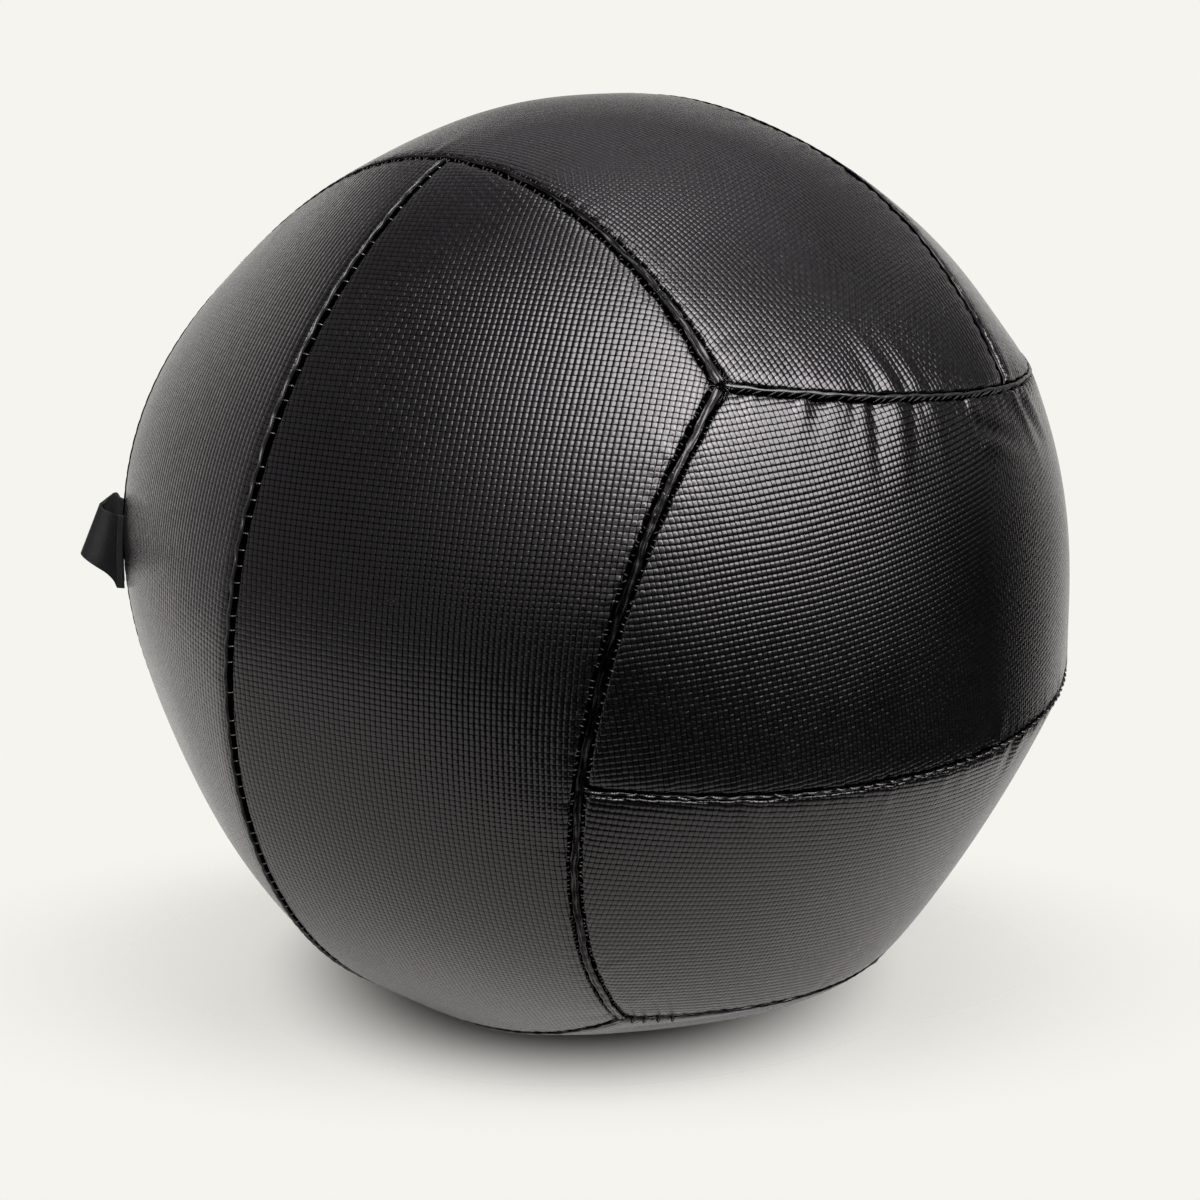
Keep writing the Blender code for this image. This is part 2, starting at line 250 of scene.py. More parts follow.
@dataclass(frozen=True)
class SeamLook:
    """How one seam is sewn. Places across it are in millimetres from its plane, up the face's across axis.

    Three numbers together run along the seam: at its low end, its middle and its high end.
    Fields: half the welt's width, its lean off the plane, the depth of the fold along it, and its
    rise over the crest line; how far the strips' edges stay from the plane on the low and the high
    side, and how ragged they are; pucker and wrinkle depth of the cloth beside it; the place of a
    running stitch; the place of stitches seen as dots in the gap; the sides on which short
    stitches bite over a strip's edge, and how far apart; how far apart slanting threads cross the
    gap; places along it of long tacks; and whether the welt is a smooth round one.
    """

    half_width: Three = even(0.9)
    lean: float = 0.0
    fold: float = 0.15
    rise: float = 0.10
    gap_low: Three = even(1.3)
    gap_high: Three = even(1.3)
    ragged: float = 0.10
    pucker: float = 0.14
    wrinkle: float = 0.10
    run_place: Optional[float] = None
    dot_place: Optional[float] = None
    bar_sides: tuple[int, ...] = ()
    bar_pitch: float = 1.9
    strokes: float = 0.0
    tacks: tuple[float, ...] = ()
    # A smooth welt takes the round welt finish, whose lighter colour is a painted highlight.
    smooth: bool = False


class SeamKind(Enum):
    """The ways that the seams of this ball have been sewn."""

    DOTTED = SeamLook(
        half_width=even(0.34), lean=-0.80, fold=0.0, rise=0.50, gap_low=(1.70, 1.70, 1.5),
        gap_high=(1.1, 0.85, 0.30), ragged=0.07, pucker=0.06, wrinkle=0.04, dot_place=0.20, smooth=True,
    )
    BAND = SeamLook(
        half_width=(1.15, 1.15, 1.25), fold=0.30, rise=0.15, gap_low=(1.65, 1.50, 1.7),
        gap_high=(1.65, 1.45, 2.0), ragged=0.14, bar_sides=(-1, 1), bar_pitch=1.8,
    )
    CORD = SeamLook(half_width=even(0.62), fold=0.0, rise=0.20, gap_low=even(0.85), gap_high=even(0.85))
    CORD_TO_BAND = SeamLook(
        half_width=(0.60, 0.66, 1.65), lean=-0.10, fold=0.32, rise=0.0, gap_low=(0.85, 0.90, 1.8),
        gap_high=(0.85, 0.85, 2.0), ragged=0.24, pucker=0.18, wrinkle=0.16, bar_sides=(-1, 1),
    )
    OPEN_GROOVE = SeamLook(
        half_width=(0.50, 0.42, 0.46), lean=0.40, fold=0.0, rise=0.15, gap_low=(0.6, 0.45, 0.7),
        gap_high=(0.95, 0.85, 0.9), ragged=0.20, pucker=0.34, wrinkle=0.26, strokes=3.1, smooth=True,
    )
    THREADED = SeamLook(
        half_width=(0.50, 0.45, 0.50), lean=0.20, fold=0.0, rise=0.05, gap_low=(0.75, 0.65, 0.75),
        gap_high=(0.60, 0.50, 0.65), ragged=0.20, pucker=0.28, wrinkle=0.26, run_place=0.42,
    )
    SCALLOPED = SeamLook(
        half_width=(0.70, 0.60, 0.70), lean=-0.15, fold=0.1, rise=-0.20, gap_low=even(1.35),
        gap_high=even(1.35), ragged=0.22, pucker=0.42, wrinkle=0.18,
    )
    PLAIN = SeamLook()
    TACKED = SeamLook(half_width=(0.7, 0.7, 0.6), rise=-0.1, tacks=(112.0, 108.0, 103.0, 98.0))


SEAM_KINDS: dict[SeamKind, tuple[str, ...]] = {
    SeamKind.DOTTED: ("left_middle", "bottom_middle", "back_right_middle"),
    SeamKind.BAND: ("left_right", "bottom_back_right", "back_right_back_left"),
    SeamKind.CORD_TO_BAND: ("top_left",),
    SeamKind.OPEN_GROOVE: ("right_top",),
    SeamKind.THREADED: ("right_middle", "back_left_middle"),
    SeamKind.SCALLOPED: ("top_middle",),
    SeamKind.TACKED: ("right_bottom",),
    SeamKind.CORD: ("back_left_top", "back_right_right", "left_back_left"),
}
END_POWER = 1.7
RAGGED_WAVES = ((0.7, 11.3), (0.6, 5.1), (0.7, 2.9), (0.5, 1.9))  # share of the raggedness, and wave length
LEAST_GAP = 0.1 * MM


@dataclass(frozen=True)
class Seam:
    """One seam of the ball, in the plane at this level across its face, out to angle end each way."""

    form: BallForm
    face: Face
    level: float
    end: float
    label: str

    @property
    def look(self) -> SeamLook:
        """How this seam is sewn."""
        kinds = (kind for kind, labels in SEAM_KINDS.items() if self.label in labels)
        return next(kinds, SeamKind.PLAIN).value

    @property
    def ring(self) -> float:
        """Radius of the seam's circle, for a ball of radius 1."""
        return math.sqrt(1 - self.level**2)

    @property
    def seed(self) -> int:
        """A number of this seam's own, for its chance wobbles."""
        return sum((k + 1) * ord(c) for k, c in enumerate(self.label))

    def half_length(self) -> float:
        """Length from the seam's middle to each end."""
        return self.end * self.ring * self.form.seam_radius

    def three(self, along: Array, values: Three) -> Array:
        """A value in metres between the low end's, the middle's and the high end's, in millimetres.

        It leaves the middle's value with the power END_POWER of the share of the way to each end.
        """
        share = np.clip(along / self.half_length(), -1, 1)
        low, middle, high = (value * MM for value in values)
        away = np.abs(share) ** END_POWER
        return middle + np.where(share > 0, high - middle, low - middle) * away

    def gap(self, along: Array, side: int) -> Array:
        """Distance from the seam's plane to the strip's edge on this side: a plain one plus ragged sines."""
        look = self.look
        chance = np.random.default_rng(self.seed + 50 + 3 * side)
        rough = sum(
            share * np.sin(2 * math.pi * along / (wave * MM) + chance.uniform(*PHASES))
            for share, wave in RAGGED_WAVES
        )
        plain = self.three(along, look.gap_high if side > 0 else look.gap_low)
        return np.maximum(plain + look.ragged * MM * rough, LEAST_GAP)

    def place_along(self, square: Array) -> Array:
        """Distance along the seam of the place beside each direction, from the seam's middle."""
        face = self.face
        angle = np.arctan2(square[:, (face.axis + 2) % 3], face.sign * square[:, face.axis])
        return self.form.seam_radius * self.ring * angle

    def points(self, along: Array, across: Array, height: Array) -> Array:
        """Points beside the seam: the direction at that angle round it, moved across by a tangent.

        Args:
            along: distance from the seam's middle, in metres.
            across: distance from its plane, in metres.
            height: height over the crest line, in metres.

        Returns:
            Points in the frame of the solids, in the shape of the three inputs together.
        """
        along, across, height = np.broadcast_arrays(along, across, height)
        shape = along.shape
        angle = along.ravel() / (self.form.seam_radius * self.ring)
        level = np.full(angle.shape, self.level)
        middle = self.face.direction(self.ring * np.cos(angle), level, self.ring * np.sin(angle))
        tangent = self.face.direction(-np.sin(angle), 0 * angle, np.cos(angle))
        side = -self.face.sign * unit(np.cross(middle, tangent))
        square = middle + side * (across.ravel() / self.form.seam_radius)[:, None]
        return self.form.surface(square, -height.ravel()).reshape(*shape, 3)


def all_seams(form: BallForm, corner_cut: float = 0.0008) -> list[Seam]:
    """The eighteen seams: a middle one and two long edges on each face."""
    edge_ring = math.sqrt(1 - EDGE_LEVEL**2)
    edge_end = math.acos(EDGE_LEVEL / edge_ring) - corner_cut / (edge_ring * form.seam_radius)
    middle_end = math.acos(EDGE_LEVEL) - corner_cut / form.seam_radius
    seams = []
    for face in Face:
        seams.append(Seam(form, face, 0.0, middle_end, f"{face.label}_middle"))
        for side in (1, -1):
            label = f"{face.label}_{face.beside(side).label}"
            seams.append(Seam(form, face, side * EDGE_LEVEL, edge_end, label))
    return seams


# Meshes from arrays.


def stacked(*parts: Array) -> Array:
    """Parts brought to one shape and put side by side, one row for each place."""
    return np.stack(np.broadcast_arrays(*parts), axis=-1).reshape(-1, len(parts))


def round_angles(count: int) -> Array:
    """Even angles once round, in radians, without the last one that would meet the first."""
    return np.linspace(0, 2 * math.pi, count, endpoint=False)


def grid_faces(rows: int, columns: int, wrap: bool = False) -> Array:
    """Corner numbers of the quads of a grid stored row by row, closed round each row if wrap is set."""
    row = np.arange(rows - 1)[:, None]
    column = np.arange(columns if wrap else columns - 1)[None, :]
    after = (column + 1) % columns
    here, above = row * columns, (row + 1) * columns
    return stacked(here + column, here + after, above + after, above + column)


def capped_faces(rings: int, sides: int, last: bool = False) -> tuple[Array, Array]:
    """Quads of closed rings, and triangles from the first ring, or the last, to one more point."""
    start = (rings - 1) * sides if last else 0
    here = np.arange(sides) + start
    after = (np.arange(sides) + 1) % sides + start
    pair = (here, after) if last else (after, here)
    return grid_faces(rings, sides, wrap=True), np.stack((*pair, np.full(sides, rings * sides)), axis=-1)


def tube_faces(tubes: int, rings: int, sides: int) -> tuple[Array, Array]:
    """Quads and end triangles of many tubes, each of its rings and then its two end points.

    Args:
        tubes: how many tubes.
        rings: rings of points on each.
        sides: points round each ring.

    Returns:
        The quads and the triangles, as corner numbers.
    """
    start = (np.arange(tubes) * (rings * sides + 2))[:, None, None]
    quads, first_cap = capped_faces(rings, sides)
    last_cap = capped_faces(rings, sides, last=True)[1] + (0, 0, 1)
    caps = np.concatenate((first_cap, last_cap))
    return (quads + start).reshape(-1, 4), (caps + start).reshape(-1, 3)


def make_piece(
    name: str,
    points: Array,
    faces: Sequence[Array],
    place: Optional[Array] = None,
    marks: Optional[dict[str, Array]] = None,
    slots: Optional[Array] = None,
) -> Object:
    """A smooth mesh object at the origin, filled from arrays.

    Args:
        name: the piece's name.
        points: one point a row.
        faces: arrays of corner numbers, one for quads, one for triangles.
        place: the cloth coordinates of each point, in metres, for the map named "cloth".
        marks: named values, one for each point.
        slots: the number of each face's material.

    Returns:
        The new object, linked to the scene.
    """
    mesh = bpy.data.meshes.new(name)
    faces = [f for f in faces if len(f)]
    corners = np.concatenate([f.ravel() for f in faces])
    sizes = np.concatenate([np.full(len(f), f.shape[1]) for f in faces])
    starts = np.concatenate(([0], np.cumsum(sizes)[:-1]))
    mesh.vertices.add(len(points))
    mesh.vertices.foreach_set("co", points.astype(np.float32).ravel())
    mesh.loops.add(len(corners))
    mesh.loops.foreach_set("vertex_index", corners.astype(np.int32))
    mesh.polygons.add(len(sizes))
    mesh.polygons.foreach_set("loop_start", starts.astype(np.int32))
    if slots is not None:
        mesh.polygons.foreach_set("material_index", slots.astype(np.int32))
    mesh.update(calc_edges=True)
    if place is not None:
        layer = mesh.uv_layers.new(name="cloth")
        layer.uv.foreach_set("vector", place[corners].astype(np.float32).ravel())
    for mark, values in (marks or {}).items():
        attribute = mesh.attributes.new(mark, "FLOAT", "POINT")
        attribute.data.foreach_set("value", values.astype(np.float32))
    mesh.shade_smooth()
    piece = bpy.data.objects.new(name, mesh)
    bpy.context.scene.collection.objects.link(piece)
    return piece


def thicken(piece: Object, name: str, thickness: float, offset: float = -1.0) -> None:
    """Gives an open sheet a wall inward from its points, or about them where the offset is 0."""
    wall = piece.modifiers.new(name, "SOLIDIFY")
    wall.thickness = thickness
    wall.offset = offset


def settle(
    piece: Object,
    body: str,
    slot: str,
    finishes: Sequence[Material],
    nodes: Sequence[str] = (),
) -> None:
    """Dresses a piece, seats it on its body, and names its finish slot and the solids that it stands for.

    Args:
        piece: the piece.
        body: the body that it moves with.
        slot: its finish slot; not used.
        finishes: its materials, in the order of their numbers.
        nodes: the solids that it replaces.
    """
    for finish in finishes:
        piece.data.materials.append(finish)
    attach(piece, body)
    if nodes:
        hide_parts(*nodes)
    log.info("%s: %d points on %s", piece.name, len(piece.data.vertices), body)


def faces_outward(points: Array, quads: Array, centre: Array) -> Array:
    """The quads of an open sheet, turned round if they look towards the centre."""
    corner = points[quads]
    normal = np.cross(corner[:, 2] - corner[:, 0], corner[:, 3] - corner[:, 1])
    outward = np.einsum("ij,ij->i", normal, corner.mean(axis=1) - centre).sum()
    return quads if outward > 0 else quads[:, ::-1]


def solid_outward(points: Array, faces: list[Array]) -> list[Array]:
    """The faces of a closed solid, turned round if its volume comes out negative."""
    volume = 0.0
    for group in faces:
        corner = points[group]
        for k in range(1, group.shape[1] - 1):
            volume += np.einsum("ij,ij->i", corner[:, 0], np.cross(corner[:, k], corner[:, k + 1])).sum()
    return faces if volume > 0 else [group[:, ::-1] for group in faces]


def tubes(paths: Array, radii: Array, sides: int) -> tuple[Array, list[Array]]:
    """Round tubes carried along many paths of the same number of points.

    Each ring lies square to the path: cosine and sine of the angle round it, times the radius, on
    two directions made square to the path by cross products. The ends close at one point each.

    Args:
        paths: (tubes, points, 3) places.
        radii: the radius at each point of each path, or one row for all.
        sides: points round each ring.

    Returns:
        The points, and the quads and triangles.
    """
    count, rings = paths.shape[:2]
    radii = np.broadcast_to(radii, (count, rings))
    tangent = unit(np.gradient(paths, axis=1) + TINY)
    lengthwise = (paths[:, -1] - paths[:, 0] + TINY)[:, None]
    helper = np.where(np.abs(unit(lengthwise))[..., 2:] < 0.8, (0, 0, 1.0), (1.0, 0, 0))
    first = unit(np.cross(tangent, np.broadcast_to(helper, tangent.shape)))
    second = np.cross(tangent, first)
    angle = round_angles(sides)
    round_it = np.cos(angle)[:, None] * first[:, :, None] + np.sin(angle)[:, None] * second[:, :, None]
    skin = paths[:, :, None] + round_it * radii[:, :, None, None]
    ends = paths[:, [0, -1]] + tangent[:, [0, -1]] * radii[:, [0, -1], None] * np.array((-0.7, 0.7))[:, None]
    points = np.concatenate((skin.reshape(count, -1, 3), ends), axis=1).reshape(-1, 3)
    return points, list(tube_faces(count, rings, sides))


def edge_spaced(half: Array, rows: int, round_rows: int, round_width: float) -> Array:
    """Places from -half to half: close rows round each rolled edge, and even ones between.

    Args:
        half: half the length of each line, as a column.
        rows: rows of the even part.
        round_rows: rows round each edge, at 1 less the cosine of even angles.
        round_width: width of the rolled edge.

    Returns:
        One row of places for each line.
    """
    turn = np.linspace(0, math.pi / 2, round_rows, endpoint=False)
    near = round_width * (1 - np.cos(turn))
    middle = np.linspace(-1, 1, rows) * (half - round_width)
    near = np.broadcast_to(near, (len(half), round_rows))
    return np.concatenate((near - half, middle, (half - near)[:, ::-1]), axis=1)


# Node building.


class Wiring:
    """Adds nodes to a tree and joins them, so that a finish reads as a list of steps."""

    def __init__(self, tree: Tree) -> None:
        """Keeps the tree that the nodes go into."""
        self.tree = tree

    def put(self, socket: Socket, value: object) -> None:
        """Joins a socket to another, or sets its value."""
        if isinstance(value, Socket):
            self.tree.links.new(value, socket)
        elif value is not None:
            socket.default_value = value

    def node(self, kind: str, inputs: Optional[dict[str, object]] = None, **settings: object) -> Node:
        """A node of this kind with its settings, and its inputs joined or set by name."""
        made = self.tree.nodes.new(kind)
        for name, value in settings.items():
            setattr(made, name, value)
        for name, value in (inputs or {}).items():
            self.put(made.inputs[name], value)
        return made

    def step(self, kind: str, operation: str, values: Sequence[object]) -> Node:
        """A Math or Vector Math node with its first inputs joined or set in order."""
        made = self.node(kind, operation=operation)
        for socket, value in zip(made.inputs, values):
            self.put(socket, value)
        return made

    def math(self, operation: str, *values: object) -> Socket:
        """The result of a Math node on these values."""
        return self.step("ShaderNodeMath", operation, values).outputs[0]

    def times(self, first: object, second: object) -> Socket:
        """The product of two values."""
        return self.math("MULTIPLY", first, second)

    def times_add(self, first: object, second: object, third: object) -> Socket:
        """The product of the first two values, plus the third."""
        return self.math("MULTIPLY_ADD", first, second, third)

    def vector(self, operation: str, *values: object) -> Socket:
        """The vector that a Vector Math node makes of these values."""
        return self.step("ShaderNodeVectorMath", operation, values).outputs[0]

    def length(self, vector: object) -> Socket:
        """The length of a vector."""
        return self.step("ShaderNodeVectorMath", "LENGTH", (vector,)).outputs["Value"]

    def scaled(self, vector: object, scale: object) -> Socket:
        """A vector times a number."""
        made = self.step("ShaderNodeVectorMath", "SCALE", (vector,))
        self.put(made.inputs["Scale"], scale)
        return made.outputs[0]

    def noise(self, place: object, scale: object, detail: float = 2.0, rough: float = 0.5) -> Node:
        """A Noise Texture at this many features to the metre."""
        inputs = {"Vector": place, "Scale": scale, "Detail": detail, "Roughness": rough}
        return self.node("ShaderNodeTexNoise", inputs)

    def ranged(
        self, value: object, low: float, high: float, to_low: float = 0.0, to_high: float = 1.0,
        smooth: bool = True,
    ) -> Socket:
        """A value carried from one range to another, clamped."""
        inputs = {"Value": value, "From Min": low, "From Max": high, "To Min": to_low, "To Max": to_high}
        kind = "SMOOTHSTEP" if smooth else "LINEAR"
        return self.node("ShaderNodeMapRange", inputs, interpolation_type=kind).outputs["Result"]

    def blend(self, share: object, first: object, second: object) -> Socket:
        """A colour between two, by this share of the second."""
        made = self.node("ShaderNodeMix", data_type="RGBA")
        self.put(made.inputs["Factor"], share)
        self.put(made.inputs[6], (*first, 1) if isinstance(first, tuple) else first)
        self.put(made.inputs[7], (*second, 1) if isinstance(second, tuple) else second)
        return made.outputs[2]

    def fill(self, node: Node, **inputs: object) -> Node:
        """Joins or sets inputs of a node by their names, a _ for each space."""
        for name, value in inputs.items():
            self.put(node.inputs[name.replace("_", " ")], value)
        return node

    def group(self, tree: Tree, **inputs: object) -> Node:
        """A node group, with its inputs joined or set as fill does."""
        return self.fill(self.node("ShaderNodeGroup", node_tree=tree), **inputs)


def new_material(name: str) -> tuple[Material, Wiring, Node]:
    """A new material, its wiring and its shader."""
    made = bpy.data.materials.new(name)
    made.use_nodes = True
    return made, Wiring(made.node_tree), made.node_tree.nodes["Principled BSDF"]


class EffectGroup:
    """A shader node group with named inputs and outputs, built once."""

    def __init__(
        self, name: str, inputs: dict[str, Optional[float]], outputs: Sequence[str],
        kind_out: str = "NodeSocketFloat",
    ) -> None:
        """Makes the group's sockets: a vector for each input of None, and outputs of one kind."""
        self.tree = bpy.data.node_groups.new(name, "ShaderNodeTree")
        for label, value in inputs.items():
            kind = "NodeSocketVector" if value is None else "NodeSocketFloat"
            socket = self.tree.interface.new_socket(label, in_out="INPUT", socket_type=kind)
            if value is not None:
                socket.default_value = value
        for label in outputs:
            self.tree.interface.new_socket(label, in_out="OUTPUT", socket_type=kind_out)
        self.wiring = Wiring(self.tree)
        self.given = self.tree.nodes.new("NodeGroupInput").outputs
        self.result = self.tree.nodes.new("NodeGroupOutput").inputs

    def give(self, label: str, value: Socket) -> None:
        """Joins a value to the output of this name."""
        self.tree.links.new(value, self.result[label])


COLUMN_POWER = 2.2
ROW_POWER = 3.0
# The pit mask marks where a finish paints shade into the weave.
# Where the two crowns, and their product, pass from no pit to a whole one, and the pit at each end.
PIT_BESIDE = (0.47, 0.15, 0.0, 0.93)
PIT_BETWEEN = (0.50, 0.14, 0.0, 0.70)
PIT_CROSSING = (0.45, 0.10)


def weave_group() -> Tree:
    """Plain weave: each crossing of two yarns is a small pillow.

    With x and y from -1 to 1 over a cell, the height is column crown times (1 - x to the power
    COLUMN_POWER) plus row crown times (1 - y to the power ROW_POWER). The yarn on top gains in
    alternate cells, and a random tilt in each cell fades out to its edges, so that the height has
    no steps. The pits are the bottoms of the grooves, where these powers run high.
    """
    group = EffectGroup(
        "plain weave",
        {"Place": None, "Column Pitch": 0.0016, "Row Pitch": 0.00145, "Column Crown": 0.0001,
         "Row Crown": 0.00007, "Crossing": 0.3, "Scatter": 0.5},
        ("Height", "Yarn Tone", "Pit"),
    )
    w, given = group.wiring, group.given
    parts = w.node("ShaderNodeSeparateXYZ", {"Vector": given["Place"]})
    column = w.math("DIVIDE", parts.outputs["X"], given["Column Pitch"])
    row = w.math("DIVIDE", parts.outputs["Y"], given["Row Pitch"])
    column_at, row_at = w.math("FLOOR", column), w.math("FLOOR", row)
    x = w.times_add(w.math("FRACT", column), 2.0, -1.0)
    y = w.times_add(w.math("FRACT", row), 2.0, -1.0)
    crown_x = w.math("SUBTRACT", 1.0, w.math("POWER", w.math("ABSOLUTE", x), COLUMN_POWER))
    crown_y = w.math("SUBTRACT", 1.0, w.math("POWER", w.math("ABSOLUTE", y), ROW_POWER))
    both = w.times(crown_x, crown_y)
    half_count = w.times(w.math("ADD", column_at, row_at), 0.5)
    parity = w.times_add(w.math("FRACT", half_count), 4.0, -1.0)
    gain = w.times(parity, given["Crossing"])
    cell = w.node("ShaderNodeCombineXYZ", {"X": column_at, "Y": row_at})
    chance = w.node("ShaderNodeTexWhiteNoise", {"Vector": cell.outputs[0]}, noise_dimensions="2D")
    tilt = w.node("ShaderNodeSeparateColor", {"Color": chance.outputs["Color"]})
    lean_x = w.times(w.math("SUBTRACT", tilt.outputs[0], 0.5), x)
    lean_y = w.times(w.math("SUBTRACT", tilt.outputs[1], 0.5), y)
    lean = w.times(w.math("ADD", lean_x, lean_y), w.times(both, given["Scatter"]))
    first = w.times(crown_x, w.times_add(gain, crown_y, 1.0))
    second = w.times(crown_y, w.math("SUBTRACT", 1.0, w.times(gain, crown_x)))
    height = w.times(first, given["Column Crown"])
    height = w.times_add(second, given["Row Crown"], height)
    height = w.times_add(w.times(lean, 2.0), given["Column Crown"], height)
    group.give("Height", height)
    group.give("Yarn Tone", chance.outputs["Value"])
    # Pit: the groove bottoms, which a finish darkens as painted shade.
    grooves = w.math("MAXIMUM", w.ranged(crown_x, *PIT_BESIDE), w.ranged(crown_y, *PIT_BETWEEN))
    group.give("Pit", w.math("MAXIMUM", grooves, w.ranged(both, *PIT_CROSSING)))
    return group.tree


def drift_group() -> Tree:
    """Cloth coordinates that wander a little, as pulled cloth does: a slow noise is added to them."""
    group = EffectGroup(
        "cloth drift", {"Place": None, "Spot": None, "Amount": 0.0003, "Per Metre": 28.0}, ("Place",),
        "NodeSocketVector",
    )
    w, given = group.wiring, group.given
    noise = w.noise(given["Spot"], given["Per Metre"], 1.0)
    shift = w.vector("SUBTRACT", noise.outputs["Color"], (0.5, 0.5, 0.5))
    group.give("Place", w.vector("ADD", given["Place"], w.scaled(shift, w.times(given["Amount"], 4.0))))
    return group.tree


PATCHES_PER_METRE = 14.0
SPECKS_PER_METRE = 1900.0
DUSTY_AREAS_PER_METRE = 45.0


def tone_group() -> Tree:
    """Uneven tone of a used surface: slow patches, and fine specks of dust where noise runs high."""
    group = EffectGroup("patches and dust", {"Spot": None, "Dust": 0.3}, ("Patch", "Speck"))
    w, given = group.wiring, group.given
    patch = w.noise(given["Spot"], PATCHES_PER_METRE, 3.0, 0.55)
    group.give("Patch", w.ranged(patch.outputs[0], 0.32, 0.68))
    speck = w.ranged(w.noise(given["Spot"], SPECKS_PER_METRE, 1.0).outputs[0], 0.66, 0.78)
    area = w.ranged(w.noise(given["Spot"], DUSTY_AREAS_PER_METRE).outputs[0], 0.45, 0.7)
    group.give("Speck", w.times(w.times(speck, area), given["Dust"]))
    return group.tree


def twist_group() -> Tree:
    """Twisted plies: ridges that run slantwise round a thread or cord, as the sine of a slanted place."""
    given = {"Spot": None, "Pitch": 0.6 * MM, "Depth": 0.04 * MM}
    group = EffectGroup("twisted plies", given, ("Height", "Ridge"))
    w, given = group.wiring, group.given
    parts = w.node("ShaderNodeSeparateXYZ", {"Vector": given["Spot"]}).outputs
    slant = w.math("ADD", w.math("ADD", parts["X"], parts["Z"]), w.times(parts["Y"], 0.6))
    wave = w.math("SINE", w.times(w.math("DIVIDE", slant, given["Pitch"]), 2 * math.pi))
    ridge = w.times_add(wave, 0.5, 0.5)
    group.give("Ridge", ridge)
    group.give("Height", w.times(ridge, given["Depth"]))
    return group.tree


# Finishes.


@dataclass(frozen=True)
class Effects:
    """The node groups that the finishes share."""

    weave: Tree
    drift: Tree
    tone: Tree
    twist: Tree


@dataclass(frozen=True)
class Finish:
    """What all finishes have: a name, two tones of colour, a roughness and a level of gloss."""

    name: str
    dark: Three
    light: Three
    roughness: float
    gloss: float = 0.5

    def start(self) -> tuple[Material, Wiring, Node]:
        """A new material, its wiring and its shader, with the plain values set on the shader."""
        made, w, shader = new_material(self.name)
        w.fill(shader, Specular_IOR_Level=self.gloss, Roughness=self.roughness)
        return made, w, shader

    def spot(self, wiring: Wiring) -> Socket:
        """The place on the object."""
        return wiring.node("ShaderNodeTexCoord").outputs["Object"]

    def bump(self, wiring: Wiring, shader: Node, height: object) -> None:
        """Turns a height in metres into the shader's normal."""
        made = wiring.node("ShaderNodeBump", {"Height": height, "Distance": 1.0, "Strength": 1.0})
        wiring.put(shader.inputs["Normal"], made.outputs[0])


DUST_COLOUR = (0.30, 0.29, 0.27)
GAP_DUST_COLOUR = (0.05, 0.05, 0.045)


@dataclass(frozen=True)
class WovenFinish(Finish):
    """Cloth in plain weave, coated or not: its pitches, crowns, scatter, and what dust it holds."""

    column_pitch: float = 1.68 * MM
    row_pitch: float = 1.53 * MM
    column_crown: float = 0.050 * MM
    row_crown: float = 0.038 * MM
    crossing: float = 0.35
    scatter: float = 0.5
    drift: float = 0.30 * MM
    dust: float = 0.3
    grain: float = 0.004 * MM
    # How much painted shade the weave's pits take, by Metallic over the dark colour.
    pit: float = 0.0
    streak: float = 0.0
    seam_pull: float = 0.0
    sheen: float = 0.0
    pulls_per_metre: float = 260.0
    grains_per_metre: float = 2600.0
    # Where the cloth's edges at the seams take painted shade, on the seam_near mark.
    edge_dark: tuple[float, ...] = (0.80, 0.92, 0.0, 0.85)
    streak_stretch: Three = (1500.0, 120.0, 0.0)
    # Where the low parts of the streaks take painted shade.
    streak_dark: tuple[float, ...] = (0.64, 0.50, 0.0, 0.97)
    shine_tint: tuple[float, ...] = (1.0, 0.955, 0.985, 1.0)

    def build(self, effects: Effects) -> Material:
        """The material: weave relief on the piece's cloth map, tone patches and dust on its places.

        As painted shade, pits, seam edges and the low parts of streaks are Metallic over so dark a colour.
        """
        made, w, shader = self.start()
        spot = self.spot(w)
        cloth = w.node("ShaderNodeUVMap", uv_map="cloth").outputs[0]
        place = w.group(effects.drift, Place=cloth, Spot=spot, Amount=self.drift).outputs["Place"]
        if self.seam_pull:
            near = w.node("ShaderNodeAttribute", attribute_name="seam_near").outputs["Fac"]
            pull = w.times(near, self.seam_pull)
            place = w.group(
                effects.drift, Place=place, Spot=spot, Amount=pull, Per_Metre=self.pulls_per_metre
            ).outputs["Place"]
        weave = w.group(
            effects.weave, Place=place, Column_Pitch=self.column_pitch, Row_Pitch=self.row_pitch,
            Column_Crown=self.column_crown, Row_Crown=self.row_crown, Crossing=self.crossing,
            Scatter=self.scatter,
        ).outputs
        tone = w.group(effects.tone, Spot=spot, Dust=self.dust).outputs
        grain = w.noise(spot, self.grains_per_metre)
        height = w.times_add(grain.outputs[0], self.grain, weave["Height"])
        # Painted shade: pits, seam edges and the low parts of streaks lose their gloss and go dark.
        painted_shade = None
        if self.pit:
            edge = w.ranged(near, *self.edge_dark)
            painted_shade = w.math("MAXIMUM", w.times(weave["Pit"], self.pit), edge)
        if self.streak:
            drawn = w.noise(w.vector("MULTIPLY", cloth, self.streak_stretch), 1.0, 2.5).outputs[0]
            height = w.times_add(drawn, self.streak, height)
            painted_shade = w.ranged(drawn, *self.streak_dark)
        if painted_shade:
            w.fill(shader, Metallic=painted_shade, Specular_Tint=self.shine_tint)
        self.bump(w, shader, height)
        lightness = w.times_add(weave["Yarn Tone"], 0.35, w.times(tone["Patch"], 0.65))
        colour = w.blend(lightness, self.dark, self.light)
        colour = w.blend(tone["Speck"], colour, DUST_COLOUR)
        rough = w.times_add(w.math("SUBTRACT", weave["Yarn Tone"], 0.5), 0.04, self.roughness)
        rough = w.times_add(w.math("SUBTRACT", tone["Patch"], 0.5), 0.05, rough)
        rough = w.times_add(tone["Speck"], 0.4, rough)
        w.fill(shader, Base_Color=colour, Roughness=rough, Sheen_Weight=self.sheen)
        return made


